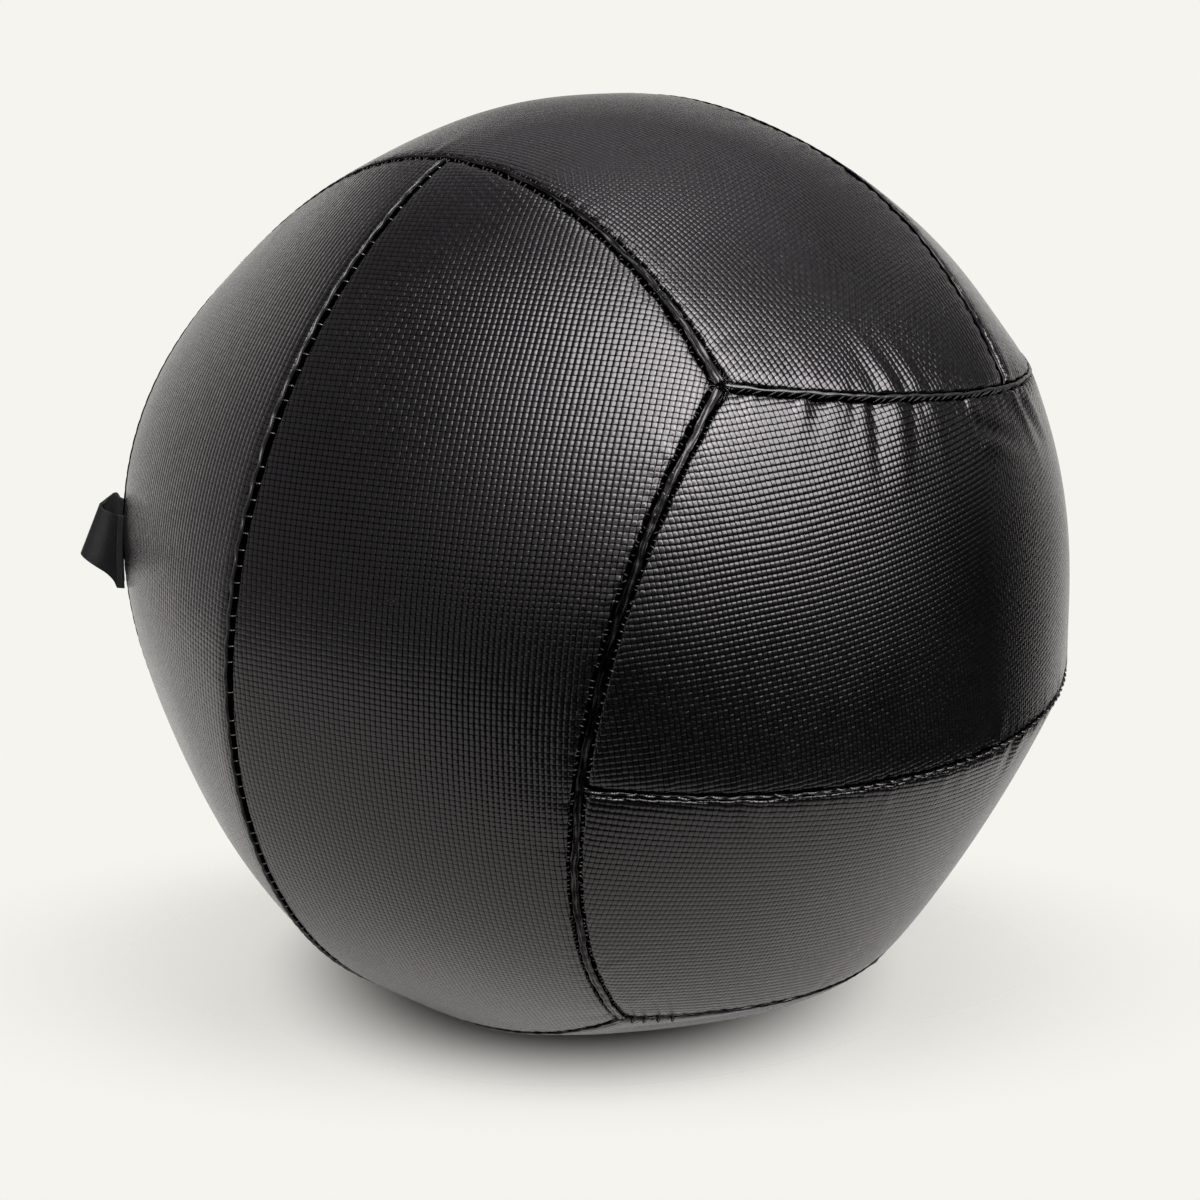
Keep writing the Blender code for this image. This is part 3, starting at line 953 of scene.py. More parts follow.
@dataclass(frozen=True)
class ThreadFinish(Finish):
    """Twisted sewing thread or cord."""

    pitch: float = 0.6 * MM
    depth: float = 0.05 * MM

    def build(self, effects: Effects) -> Material:
        """The material: slanting plies in relief, darker between them as painted shade, with a little dust.
        """
        made, w, shader = self.start()
        spot = self.spot(w)
        twist = w.group(effects.twist, Spot=spot, Pitch=self.pitch, Depth=self.depth).outputs
        tone = w.group(effects.tone, Spot=spot, Dust=0.2).outputs
        # Painted shade: the colour is dark between the plies and light on their ridges.
        colour = w.blend(twist["Ridge"], self.dark, self.light)
        rough = w.times_add(tone["Patch"], 0.12, self.roughness - 0.06)
        w.fill(shader, Base_Color=w.blend(tone["Speck"], colour, DUST_COLOUR), Roughness=rough)
        self.bump(w, shader, twist["Height"])
        return made


@dataclass(frozen=True)
class LooseFinish(Finish):
    """Foam, wadding or sand: a lumpy surface of cells or grains of one size."""

    grain_size: float = 1.0 * MM
    grain_depth: float = 0.2 * MM
    metal: float = 0.0

    def build(self, effects: Effects) -> Material:
        """The material: cells of a Voronoi pattern as relief, darker in the gaps between them as painted
        shade.
        """
        made, w, shader = self.start()
        spot = self.spot(w)
        cells = w.node("ShaderNodeTexVoronoi", {"Vector": spot, "Scale": 1 / self.grain_size})
        away = cells.outputs["Distance"]
        tone = w.group(effects.tone, Spot=spot, Dust=0.0)
        # Painted shade: the colour darkens with the distance from each cell's middle, into the gaps.
        share = w.times_add(away, -0.7, w.times_add(tone.outputs["Patch"], 0.4, 0.8))
        colour, rough = w.blend(share, self.dark, self.light), w.times_add(away, 0.1, self.roughness - 0.05)
        w.fill(shader, Base_Color=colour, Roughness=rough, Metallic=self.metal)
        self.bump(w, shader, w.times(away, -self.grain_depth))
        return made


@dataclass(frozen=True)
class GapFinish(Finish):
    """Painted shade for the bottom of a seam's groove: the darkest cloth with no gloss, with a little dust.
    """

    def build(self, effects: Effects) -> Material:
        """The material: two blacks in patches, on a rough shader, with a little dust."""
        made, w, shader = self.start()
        tone = w.group(effects.tone, Spot=self.spot(w), Dust=0.1).outputs
        colour = w.blend(tone["Patch"], self.dark, self.light)
        rough = w.times_add(tone["Patch"], 0.05, self.roughness - 0.05)
        w.fill(shader, Base_Color=w.blend(tone["Speck"], colour, GAP_DUST_COLOUR), Roughness=rough)
        return made


# The cover's weave pits and its edges at the seams take painted shade, nearly without light.
COATED_COVER = WovenFinish(
    "coated cover", (0.0012, 0.0011, 0.0014), (0.0040, 0.0036, 0.0043), 0.23, 0.52, column_crown=0.105 * MM,
    row_crown=0.060 * MM, crossing=0.40, scatter=0.25, pit=0.97, seam_pull=0.35 * MM,
)
# The welt's streaks are relief, and their low parts take painted shade.
FOLDED_WELT = WovenFinish(
    "folded welt", (0.0014, 0.0013, 0.0015), (0.0042, 0.0039, 0.0043), 0.26, 0.45, column_crown=0.01 * MM,
    row_crown=0.01 * MM, drift=0.5 * MM, grain=0.010 * MM, streak=0.14 * MM,
)
# A lighter copy of the folded welt without streaks: its colour is a painted highlight along the thin round
# welt.
ROUND_WELT_PAINTED_HIGHLIGHT = replace(
    FOLDED_WELT, name="round welt", dark=(0.030, 0.029, 0.030), light=(0.050, 0.048, 0.050), roughness=0.32,
    streak=0.0,
)
SEWING_THREAD = ThreadFinish("sewing thread", (0.010, 0.010, 0.010), (0.044, 0.043, 0.044), 0.26, 0.9)
DARK_THREAD = ThreadFinish("dark thread", (0.002, 0.002, 0.002), (0.006, 0.006, 0.006), 0.45, 0.4)
LOOP_WEBBING = WovenFinish(
    "loop webbing", (0.0022, 0.0020, 0.0022), (0.0065, 0.0060, 0.0065), 0.70, 0.30, column_pitch=0.8 * MM,
    row_pitch=1.1 * MM, column_crown=0.06 * MM, row_crown=0.05 * MM, crossing=0.5, sheen=0.02,
)
FOAM = LooseFinish("foam", (0.14, 0.14, 0.135), (0.34, 0.34, 0.33), 0.92, 0.3, 1.1 * MM, 0.25 * MM)
WADDING = LooseFinish("wadding", (0.42, 0.40, 0.35), (0.66, 0.64, 0.59), 0.95, 0.2, 7 * MM, 2.0 * MM)
BAG_CANVAS = WovenFinish(
    "bag canvas", (0.42, 0.36, 0.26), (0.60, 0.53, 0.41), 0.85, 0.3, column_pitch=1.0 * MM,
    row_pitch=1.0 * MM, crossing=0.7, dust=0.5,
)
IRON_SAND = LooseFinish(
    "iron sand", (0.05, 0.045, 0.04), (0.20, 0.18, 0.17), 0.45, 0.5, 1.4 * MM, 0.5 * MM, metal=0.7
)
TIE_CORD = ThreadFinish("tie cord", (0.50, 0.48, 0.44), (0.78, 0.76, 0.71), 0.8, 0.3, 1.6 * MM, 0.3 * MM)
# Painted shade for the bottoms of the grooves: the welts' flanges and ends.
GROOVE_PAINTED_SHADE = GapFinish("groove bottom", (0.0004, 0.0004, 0.0004), (0.0010, 0.0010, 0.0010), 1.0, 0.0)


# The cover.


@dataclass(frozen=True)
class Crease:
    """A pulled fold of a strip, from one cloth place to another.

    Places are millimetres from the face's middle seam and along it. Height is out of the cloth,
    and width is the distance over which the fold falls to a third.
    """

    start: Pair
    stop: Pair
    width: float
    height: float


CREASES: dict[str, tuple[Crease, ...]] = {
    "right_upper": (
        Crease((114.0, 74.0), (84.0, 77.0), 2.4, -0.85),
        Crease((114.0, 64.5), (80.0, 68.5), 3.6, 0.70),
        Crease((114.0, 57.5), (92.0, 60.5), 2.2, -0.45),
        Crease((114.0, 50.5), (90.0, 47.5), 2.6, 0.42),
        Crease((114.0, 41.0), (97.0, 38.5), 2.4, -0.40),
        Crease((114.0, 31.0), (98.0, 23.0), 2.8, 0.55),
        Crease((102.0, 29.0), (94.0, -4.0), 2.2, -0.75),
        Crease((97.0, 26.0), (89.0, -6.0), 3.0, 0.55),
        Crease((109.0, -1.0), (84.0, -22.0), 2.6, 0.70),
        Crease((107.0, -8.0), (88.0, -29.0), 2.0, -0.55),
        Crease((107.0, -16.0), (85.0, -39.0), 2.8, 0.55),
        Crease((-1.0, 28.0), (16.0, 26.0), 2.8, -0.60),
        Crease((-1.0, 21.5), (13.0, 19.0), 2.6, 0.45),
    ),
    "right_lower": (
        Crease((-1.0, 16.0), (20.0, 9.0), 2.6, 0.60),
        Crease((-1.0, 8.0), (18.0, 2.0), 2.2, -0.50),
        Crease((-1.0, 48.0), (16.0, 43.0), 2.2, 0.32),
        Crease((-1.0, 37.0), (15.0, 33.0), 2.2, 0.36),
        Crease((-1.0, 72.0), (14.0, 69.0), 2.4, 0.25),
    ),
    "top_front": (
        Crease((59.0, 157.0), (62.0, 126.0), 2.2, 0.60),
        Crease((64.5, 156.0), (67.0, 134.0), 2.2, -0.50),
        Crease((47.0, 160.0), (52.0, 134.0), 2.0, 0.38),
        Crease((53.5, 158.0), (57.0, 138.0), 1.8, -0.32),
    ),
    "bottom_front": (
        Crease((95.0, 110.0), (-20.0, 214.0), 8.0, -1.7),
    ),
}


@dataclass(frozen=True)
class Grain:
    """How a strip's cloth was cut: its turn in degrees, its twist in each 100 mm along, its stretch."""

    turn: float = 4.0
    twist: float = 0.0
    stretch: Pair = (1.0, 1.0)

    def lay(self, place: Array) -> Array:
        """The places turned by turn plus twist times the place along, and drawn in by the stretch.

        The place across gains the turn times the place along, and half the twist times its square.
        The place along loses the turn and twist there times the place across.
        """
        turn, twist = math.radians(self.turn), math.radians(self.twist) / 0.1
        across, along = place.T
        turned = (across + turn * along + 0.5 * twist * along**2, along - (turn + twist * along) * across)
        return np.stack(turned, axis=-1) / self.stretch


GRAINS: dict[str, Grain] = {
    "left_inner": Grain(6.0, 7.0, (1.0, 1.02)),
    "left_outer": Grain(-1.0, 2.0, (1.12, 1.04)),
    "right_upper": Grain(12.0, 0.0, (1.02, 1.05)),
    "right_lower": Grain(4.5, 0.0, (1.20, 1.06)),
    "top_front": Grain(6.0),
    "top_rear": Grain(5.0),
    "bottom_front": Grain(-5.0, 3.0, (1.05, 1.0)),
    "back_left_upper": Grain(-7.0, 2.0, (1.03, 1.02)),
    "back_right_inner": Grain(8.0, -3.0, (0.98, 1.03)),
}


FOLD_ROOM = 0.05  # in metres from the seam, past which no fold is drawn
FOLD_SPACING = 0.011
FOLD_WIDTHS = (0.0011, 0.0026)
FOLD_WIDENING = 0.14
FOLD_REACHES = (0.004, 0.014)
FOLD_SLANTS = (-0.45, 0.45)


def wrinkles(distance: Array, along: Array, span: float, depth: float, seed: int) -> Array:
    """Small folds that run out from a seam.

    Each is a bell across its own line, which widens away from the seam, times a decay with the
    distance from the seam. Places, widths, reaches, slants and heights are drawn from the seed.

    Args:
        distance: distance from the seam of each point.
        along: place of each point along the seam.
        span: half the seam's length.
        depth: typical height of a fold.
        seed: number that the chances are drawn from.

    Returns:
        A height for each point.
    """
    chance = np.random.default_rng(seed)
    height = np.zeros(len(distance))
    near = distance < FOLD_ROOM
    d, a = distance[near], along[near]
    total = np.zeros(len(d))
    for _ in range(int(span * 2 / FOLD_SPACING)):
        at, width = chance.uniform(-span, span), chance.uniform(*FOLD_WIDTHS)
        reach, slant = chance.uniform(*FOLD_REACHES), chance.uniform(*FOLD_SLANTS)
        tall = depth * chance.normal()
        total += tall * np.exp(-(((a - at - slant * d) / (width + FOLD_WIDENING * d)) ** 2) - d / reach)
    height[near] = total
    return height


@dataclass
class CoverStrip:
    """One strip of the cover: its cloth, rolled down into the seams along its four edges."""

    form: BallForm
    face: Face
    side: int
    seams: dict[str, Seam]
    plain_gap: float = 1.2 * MM
    round_width: float = 1.3 * MM
    round_depth: float = 2.0 * MM
    shoulder_width: float = 5.0 * MM
    shoulder_depth: float = 0.45 * MM
    dimple_reach: float = 3.5 * MM
    near_reach: float = 4.0 * MM
    mean_ring: float = 0.957
    most_drop: float = 3.2 * MM
    thickness: float = 1.4 * MM
    across_rows: int = 72
    along_rows: int = 330
    round_rows: int = 6

    @property
    def name(self) -> str:
        """The strip's name, after its face and its side."""
        return f"{self.face.label}_{self.face.strip(self.side)}"

    def edge_drop(self, distance: Array) -> Array:
        """Depth below the plain surface: a soft parabola at the shoulder, then a quarter of an ellipse."""
        shoulder = self.shoulder_depth * np.clip(1 - distance / self.shoulder_width, 0, 1) ** 2
        into = np.clip(1 - distance / self.round_width, 0, 1)
        return shoulder + self.round_depth * (1 - np.sqrt(np.maximum(1 - into**2, 0)))

    def puckers(self, seam: Seam, side: int, square: Array, distance: Array) -> Array:
        """Depth of a seam's stitch dimples, a raised cosine along it, less its wrinkles."""
        look, along = seam.look, seam.place_along(square)
        wave = 0.5 + 0.5 * np.cos(2 * math.pi * along / STITCH_PITCH)
        dimples = look.pucker * MM * wave**2 * np.exp(-distance / self.dimple_reach)
        folds = wrinkles(distance, along, seam.half_length(), look.wrinkle * MM, seam.seed + side)
        return dimples - folds

    def bounding(self) -> tuple[tuple[Seam, int], ...]:
        """The seams at the strip's middle and outer edges and upper and lower ends, and its side of each."""
        face = self.face
        outer = self.seams[f"{face.label}_{face.beside(self.side).label}"]
        upper, lower = (self.seams[f"{face.turned(2, sign).label}_{face.label}"] for sign in (1, -1))
        middle = self.seams[f"{face.label}_middle"]
        return (middle, self.side), (outer, -self.side), (upper, face.sign), (lower, face.sign)

    def build(self) -> Object:
        """The strip's mesh.

        Lines run along the strip at each level across it. The place on a line is an angle round
        the face's across axis. Both are stretched a little, so that each edge stays the seam's own
        ragged gap away from it. Each edge rolls down by edge_drop, and puckers and creases follow.
        """
        radius = self.form.seam_radius
        width = radius * math.asin(EDGE_LEVEL)
        inner = width - 2 * self.plain_gap
        spread = edge_spaced(np.array([[inner / 2]]), self.across_rows, self.round_rows, self.round_width)[0]
        share = (spread / inner + 0.5)[:, None]
        level, ring, half = self.line(self.plain_gap + share * inner)
        along = edge_spaced(half - self.plain_gap, self.along_rows, self.round_rows, self.round_width)
        along_share = along / (2 * (half - self.plain_gap)) + 0.5
        rows, columns = along.shape
        square = self.square(level, ring, along)
        gaps = [
            seam.gap(seam.place_along(square), side).reshape(rows, columns)
            for seam, side in self.bounding()
        ]
        from_middle = gaps[0] + share * (width - gaps[0] - gaps[1])
        level, ring, half = self.line(from_middle)
        along = gaps[3] - half + along_share * (2 * half - gaps[2] - gaps[3])
        square = self.square(level, ring, along)
        edges = (from_middle - gaps[0], width - gaps[1] - from_middle)
        ends = (half - gaps[2] - along, half - gaps[3] + along)
        distances = [distance.ravel() for distance in (*edges, *ends)]
        inset = sum(self.edge_drop(d) for d in distances)
        for (seam, side), distance in zip(self.bounding(), distances):
            inset = inset + self.puckers(seam, side, square, distance)
        place = stacked(from_middle, along / ring * (self.mean_ring + 0.5 * (ring - self.mean_ring)))
        inset = np.minimum(inset, self.most_drop) - self.creases(place)
        points = self.form.surface(square, inset)
        quads = faces_outward(points, grid_faces(rows, columns), self.form.centre)
        near = np.exp(-np.minimum.reduce(distances) / self.near_reach)
        cloth = GRAINS.get(self.name, Grain()).lay(place)
        piece = make_piece(f"cover_{self.name}", points, [quads], cloth, {"seam_near": near})
        thicken(piece, "cloth", self.thickness)
        return piece

    def line(self, from_middle: Array) -> tuple[Array, Array, Array]:
        """Level, ring radius and half length of the lines at these distances from the middle seam."""
        level = np.sin(from_middle / self.form.seam_radius)
        ring = np.sqrt(1 - level**2)
        return level, ring, self.form.seam_radius * ring * np.arccos(np.clip(EDGE_LEVEL / ring, -1, 1))

    def square(self, level: Array, ring: Array, along: Array) -> Array:
        """Square-pattern directions at these distances along the lines of these levels and rings."""
        angle = along / (self.form.seam_radius * ring)
        level, ring, angle = (v.ravel() for v in np.broadcast_arrays(level, ring, angle))
        return self.face.direction(ring * np.cos(angle), self.side * level, ring * np.sin(angle))

    def creases(self, place: Array) -> Array:
        """Height of the named folds: a bell across each, faded in and out along it by a half sine."""
        height = np.zeros(len(place))
        for crease in CREASES.get(self.name, ()):
            start, stop = np.array(crease.start) * MM, np.array(crease.stop) * MM
            run = stop - start
            length = np.linalg.norm(run)
            share = (place - start) @ run / length**2
            off = (place - start) @ np.array((-run[1], run[0])) / length
            fade = np.clip((1 - share) / 0.75, 0, 1) ** 1.2 * np.clip((share + 0.05) / 0.1, 0, 1)
            height += crease.height * MM * fade * np.exp(-((off / (crease.width * MM)) ** 2))
        return height


@dataclass
class Cover:
    """The twelve strips."""

    form: BallForm
    seams: dict[str, Seam]

    def build(self, effects: Effects) -> None:
        """Builds, dresses and seats each strip in place of its solid."""
        finish = COATED_COVER.build(effects)
        for face in Face:
            for side in (1, -1):
                strip = CoverStrip(self.form, face, side, self.seams)
                piece = strip.build()
                settle(piece, "ball", "coated_cover", [finish], [f"panel_{strip.name}"])


# Welts, sewing thread and gathers.


def wobble(chance: np.random.Generator, along: Array, waves: Sequence[float], depth: float) -> Array:
    """A sum of sines of these wave lengths, each with a chance height about the depth and a chance phase."""
    total = 0.0
    for wave in waves:
        tall = depth * chance.normal()
        total = total + tall * np.sin(2 * math.pi * along / wave + chance.uniform(*PHASES))
    return total


@dataclass
class Welt:
    """The folded welt in one seam, with its wobble and the dips where stitches hold it."""

    seam: Seam
    base_half: float = 4.4 * MM
    base_depth: float = 2.2 * MM
    base_thickness: float = 1.0 * MM
    base_lip: float = 0.2 * MM
    flare: float = 0.12 * MM
    span: float = 0.8 * MM
    sway: float = 0.10 * MM
    sway_waves: Three = (0.037, 0.019, 0.0093)
    swell: float = 0.07
    swell_waves: tuple[float, ...] = (0.027, 0.0121, 0.0057, 0.0023)
    stitch_pinch: float = 0.10
    stitch_dip: float = 0.12 * MM
    tuck_length: float = 3.0 * MM
    tuck_depth: float = 0.7 * MM

    def section(self, half: Array) -> tuple[Array, Array, Array]:
        """The welt's outline for each half width: two lobes and a fold, and flanges under both strips.

        Args:
            half: half widths as a column, one for each ring.

        Returns:
            The places across and up of each point of each ring, and which of the spans are flange.
        """
        look = self.seam.look
        fold = look.fold * MM
        across = np.array((-1.0, -0.98, -0.84, -0.55, -0.25, 0.0, 0.25, 0.55, 0.84, 0.98, 1.0))
        sunk = np.array((-0.95, -0.45, -0.10, 0.0, 0.0, 0.0, 0.0, 0.0, -0.10, -0.45, -0.95)) * MM
        dip = np.array((0, 0, 0, 0.25, 0.8, 1.0, 0.8, 0.25, 0, 0, 0)) * fold
        x = across * half + look.lean * MM
        z = np.broadcast_to(sunk - dip + look.rise * MM, x.shape)
        base, low = self.base_half, -self.base_depth
        wall = np.full(half.shape, low + self.base_lip)
        left, right = x[:, :1] - self.flare, x[:, -1:] + self.flare
        ends = np.tile((-base, base, base, 0.0, -base), (len(half), 1))
        floor = low - self.base_thickness
        levels = np.tile((low, low, floor, floor, floor), (len(half), 1))
        x = np.concatenate((ends[:, :1], left, x, right, ends[:, 1:]), axis=1)
        z = np.concatenate((levels[:, :1], wall, z, wall, levels[:, 1:]), axis=1)
        flange = np.ones(x.shape[1], int)
        flange[2:12] = 0
        return x, z, flange

    def build(self) -> Object:
        """The welt's mesh: its outline carried along the seam, closed round and at both ends."""
        look, seam = self.seam.look, self.seam
        half_length = seam.half_length()
        rows = int(2 * half_length / self.span)
        along = np.linspace(-half_length, half_length, rows)[:, None]
        chance = np.random.default_rng(seam.seed)
        sway = wobble(chance, along, self.sway_waves, self.sway)
        swell = wobble(chance, along, self.swell_waves, self.swell)
        stitch = (0.5 + 0.5 * np.cos(2 * math.pi * along / STITCH_PITCH)) ** 4
        half = seam.three(along, look.half_width) * (1 + swell - self.stitch_pinch * stitch)
        x, z, flange = self.section(half)
        raised = np.clip((z + self.base_depth) / self.base_depth, 0, 1)
        tuck = 0.0
        if seam.level == 0:
            tuck = self.tuck_depth * np.clip(1 - (half_length - np.abs(along)) / self.tuck_length, 0, 1) ** 2
        height = z - raised * (self.stitch_dip * stitch + tuck)
        points = seam.points(along, x + raised * sway, height)
        rings, sides = points.shape[:2]
        ends = points[[0, -1]].mean(axis=1)
        points = np.concatenate((points.reshape(-1, 3), ends))
        faces = solid_outward(points, list(tube_faces(1, rings, sides)))
        # Flanges and ends take the second finish, the groove's painted shade.
        slots = np.concatenate((np.tile(flange, rings - 1), np.ones(2 * sides, int)))
        steps = np.hypot(np.diff(x), np.diff(z))
        length = np.concatenate((np.zeros((rings, 1)), np.cumsum(steps, axis=1)), axis=1)
        place = np.concatenate((stacked(length, along), [(0, -half_length), (0, half_length)]))
        return make_piece(f"welt_cloth_{seam.label}", points, faces, place, slots=slots)


@dataclass
class Stitches:
    """A set of short bent tubes: their middle lines, as (tubes, 5, 3), and their radii."""

    paths: list[Array]
    radii: list[Array]

    def add(self, path: Array, radius: float, profile: Sequence[float]) -> None:
        """Adds tubes along these paths, thick as radius times the profile along each."""
        self.paths.append(path)
        self.radii.append(np.broadcast_to(radius * np.array(profile), path.shape[:2]))

    def build(self, name: str, sides: int) -> Optional[Object]:
        """All tubes as one mesh, or None where there are none."""
        if not self.paths:
            return None
        points, faces = tubes(np.concatenate(self.paths), np.concatenate(self.radii), sides)
        return make_piece(name, points, faces)


@dataclass
class SeamThread:
    """The sewing thread of one seam: a running line along its welt, bridges over its gap, short bars."""

    seam: Seam
    run_radius: float = 0.24 * MM
    run_length: float = 3.9 * MM
    run_rise: float = 0.55 * MM
    dot_radius: float = 0.20 * MM
    dot_length: float = 2.1 * MM
    dot_rise: float = 0.62 * MM
    dots_kept: float = 0.95
    dot_pitch: float = 4.6 * MM
    bar_radius: float = 0.20 * MM
    bar_lengths: Pair = (1.0 * MM, 2.2 * MM)
    bar_rise: float = 0.55 * MM
    bars_kept: float = 0.85
    edge_depth: float = 0.85 * MM
    stroke_radius: float = 0.24 * MM
    stroke_lengths: Pair = (3.6 * MM, 6.4 * MM)
    stroke_depth: float = 1.0 * MM
    stroke_rise: float = 0.75 * MM
    tack_radius: float = 0.34 * MM
    tack_halves: Pair = (2.2 * MM, 3.2 * MM)
    tack_top: float = 0.7 * MM
    tack_fall: float = 1.0 * MM

    def bright(self) -> Optional[Object]:
        """Running stitches with sunk ends, and bridges where thread crosses the gap."""
        seam, look = self.seam, self.seam.look
        half_length = seam.half_length() - 2 * MM
        count = int(half_length / STITCH_PITCH)
        at = np.arange(-count, count + 1)[:, None] * STITCH_PITCH
        chance = np.random.default_rng(seam.seed + 7)
        share, shape = np.linspace(0, 1, 5), (len(at), 1)
        made = Stitches([], [])
        if look.run_place is not None:
            length = self.run_length + chance.normal(0, 0.5 * MM, shape)
            along = at + (share - 0.5) * length + STITCH_PITCH / 2
            across = look.run_place * MM + chance.normal(0, 0.12 * MM, shape)
            across = across + (share - 0.5) * chance.normal(0, 0.4 * MM, shape)
            height = (look.rise - 0.30) * MM + self.run_rise * np.sin(math.pi * share) ** 0.5
            path = seam.points(along, across, height)
            made.add(path, self.run_radius, (0.8, 1.0, 1.05, 1.0, 0.8))
        if look.dot_place is not None:
            holes = np.arange(-half_length, half_length, self.dot_pitch)[:, None]
            kept = holes[chance.uniform(size=len(holes)) < self.dots_kept]
            across = look.dot_place * MM + chance.normal(0, 0.12 * MM, kept.shape)
            across = across + (share - 0.5) * self.dot_length
            along = kept + chance.normal(0, 0.16 * MM, kept.shape) + 0.4 * MM * (share - 0.5)
            height = -self.edge_depth + chance.normal(0, 0.10 * MM, kept.shape)
            path = seam.points(along, across, height + self.dot_rise * np.sin(math.pi * share))
            made.add(path, self.dot_radius, (0.8, 1.0, 1.1, 1.0, 0.8))
        return made.build(f"thread_{seam.label}", 6)

    def dark(self) -> Optional[Object]:
        """Short stitches over the strips' edges at chance places, and long tacks across the welt."""
        seam, look = self.seam, self.seam.look
        half_length = seam.half_length() - 4 * MM
        chance = np.random.default_rng(seam.seed + 31)
        share = np.linspace(0, 1, 5)
        made = Stitches([], [])
        for side in look.bar_sides:
            at = np.arange(-half_length, half_length, look.bar_pitch * MM)
            at = at[chance.uniform(size=len(at)) < self.bars_kept][:, None]
            shape = (len(at), 1)
            edge = seam.gap(at, side)
            inner = -0.25 * MM + chance.normal(0, 0.1 * MM, shape)
            length = chance.uniform(*self.bar_lengths, shape)
            across = side * (edge + inner + length * share)
            along = at + chance.normal(0, 0.3 * MM, shape) + chance.normal(0, 0.5 * MM, shape) * share
            arch = np.sin(math.pi * np.clip(share * 1.1, 0, 1)) ** 0.7
            height = -self.edge_depth + self.bar_rise * arch - 0.1 * MM * share
            path = seam.points(along, across, height)
            made.add(path, self.bar_radius, (0.9, 1.0, 1.0, 0.8, 0.4))
        if look.strokes:
            at = np.arange(-half_length, half_length, look.strokes * MM)[:, None]
            shape = (len(at), 1)
            at = at + chance.normal(0, 0.35 * MM, shape)
            low, high = seam.gap(at, -1) + 0.3 * MM, seam.gap(at, 1) + 0.2 * MM
            across = -low + (low + high) * share
            along = at - (share - 0.5) * chance.uniform(*self.stroke_lengths, shape)
            height = -self.stroke_depth + self.stroke_rise * np.sin(math.pi * share) ** 0.5
            path = seam.points(along, across, height + 0.12 * MM * chance.normal(size=shape))
            made.add(path, self.stroke_radius, (0.6, 1.0, 1.0, 0.9, 0.5))
        if look.tacks:
            at = np.array(look.tacks)[:, None] * MM
            across = (2 * share - 1) * chance.uniform(*self.tack_halves, at.shape)
            along = at + (share - 0.5) * chance.normal(0, 0.8 * MM, at.shape)
            height = self.tack_top - self.tack_fall * (2 * share - 1) ** 4
            path = seam.points(along, across, height)
            made.add(path, self.tack_radius, (0.6, 1.0, 1.0, 1.0, 0.6))
        return made.build(f"bars_{seam.label}", 5)


@dataclass
class Corner:
    """A place where three seams meet, by the signs of its three parts in the square pattern."""

    form: BallForm
    signs: tuple[int, int, int]

    @property
    def number(self) -> int:
        """The corner's number, from 0 to 7."""
        return sum((sign > 0) << k for k, sign in enumerate(self.signs))

    def axes(self) -> tuple[Array, Array, Array]:
        """The square-pattern direction to the corner, and two directions across it."""
        middle = np.array(self.signs) / math.sqrt(3)
        first = unit(np.cross(middle, (0.3, -0.5, 0.81)))
        return middle, first, np.cross(middle, first)


@dataclass
class CornerGather(Corner):
    """The pulled knot of cloth at a corner."""

    first_seed: int = 900
    reach: float = 5.6 * MM
    depth: float = 0.30 * MM
    fall: float = 2.3 * MM
    fold_height: float = 0.42 * MM
    fold_counts: tuple[int, ...] = (3, 5, 8)
    thickness: float = 0.8 * MM
    rings: int = 22
    sides: int = 56

    def build(self) -> Object:
        """A sunk dome with folds that run out from its middle, as a bell times sines round it."""
        chance = np.random.default_rng(self.first_seed + self.number)
        middle, first, second = self.axes()
        away = np.linspace(self.reach / self.rings, self.reach, self.rings)[:, None]
        turn = round_angles(self.sides)[None, :]
        folds = sum(
            chance.uniform(0.5, 1.0) * np.cos(count * turn + chance.uniform(*PHASES) + 0.25 * away / MM)
            for count in self.fold_counts
        )
        share = away / self.reach
        bell = np.sin(math.pi * np.clip(share * 1.2, 0, 1))
        height = -self.depth - self.fall * share**1.3 + self.fold_height * folds * bell
        flat = first * np.cos(turn)[..., None] + second * np.sin(turn)[..., None]
        square = middle + flat * (away / self.form.seam_radius)[..., None]
        square = np.concatenate((square.reshape(-1, 3), middle[None]))
        points = self.form.surface(square, -np.concatenate((height.ravel(), [-self.depth])))
        quads, cap = capped_faces(self.rings, self.sides)
        turned = faces_outward(points, quads, self.form.centre)
        if turned is not quads:
            cap = cap[:, ::-1]
        place = np.concatenate((stacked(away * np.cos(turn), away * np.sin(turn)), [(0, 0)]))
        piece = make_piece(f"gather_{self.number}", points, [turned, cap], place)
        thicken(piece, "cloth", self.thickness)
        return piece


@dataclass
class CornerTuft(Corner):
    """Loose fibres that stand out of a corner's knot."""

    first_seed: int = 700
    count: int = 26
    root_spread: float = 2.2 * MM
    root_depth: float = 0.9 * MM
    length: float = 3.2 * MM
    rise: float = 1.5 * MM
    radius: float = 0.085 * MM

    def build(self) -> Optional[Object]:
        """Thin tubes from places round the corner, each an arc that rises by a sine and bends to a side."""
        chance = np.random.default_rng(self.first_seed + self.number)
        middle, first, second = self.axes()
        share = np.linspace(0, 1, 5)
        shape = (self.count, 1)
        turn = chance.uniform(0, 2 * math.pi, shape)
        away = self.root_spread * chance.uniform(0.2, 1.0, shape)
        length = self.length * chance.uniform(0.4, 1.3, shape)
        heading = turn + chance.normal(0, 0.7, shape) + chance.normal(0, 0.5, shape) * share
        root, tip = (np.stack((np.cos(angle), np.sin(angle))) for angle in (turn, heading))
        flat = (away * root + length * share * tip) / self.form.seam_radius
        square = middle + flat[0][..., None] * first + flat[1][..., None] * second
        rise = self.rise * np.sin(0.5 * math.pi * share) * chance.uniform(0.4, 1.0, shape)
        inset = (self.root_depth - rise).ravel()
        points = self.form.surface(square.reshape(-1, 3), inset).reshape(self.count, 5, 3)
        made = Stitches([], [])
        made.add(points, self.radius, (1.0, 1.0, 0.9, 0.7, 0.35))
        return made.build(f"tuft_{self.number}", 4)


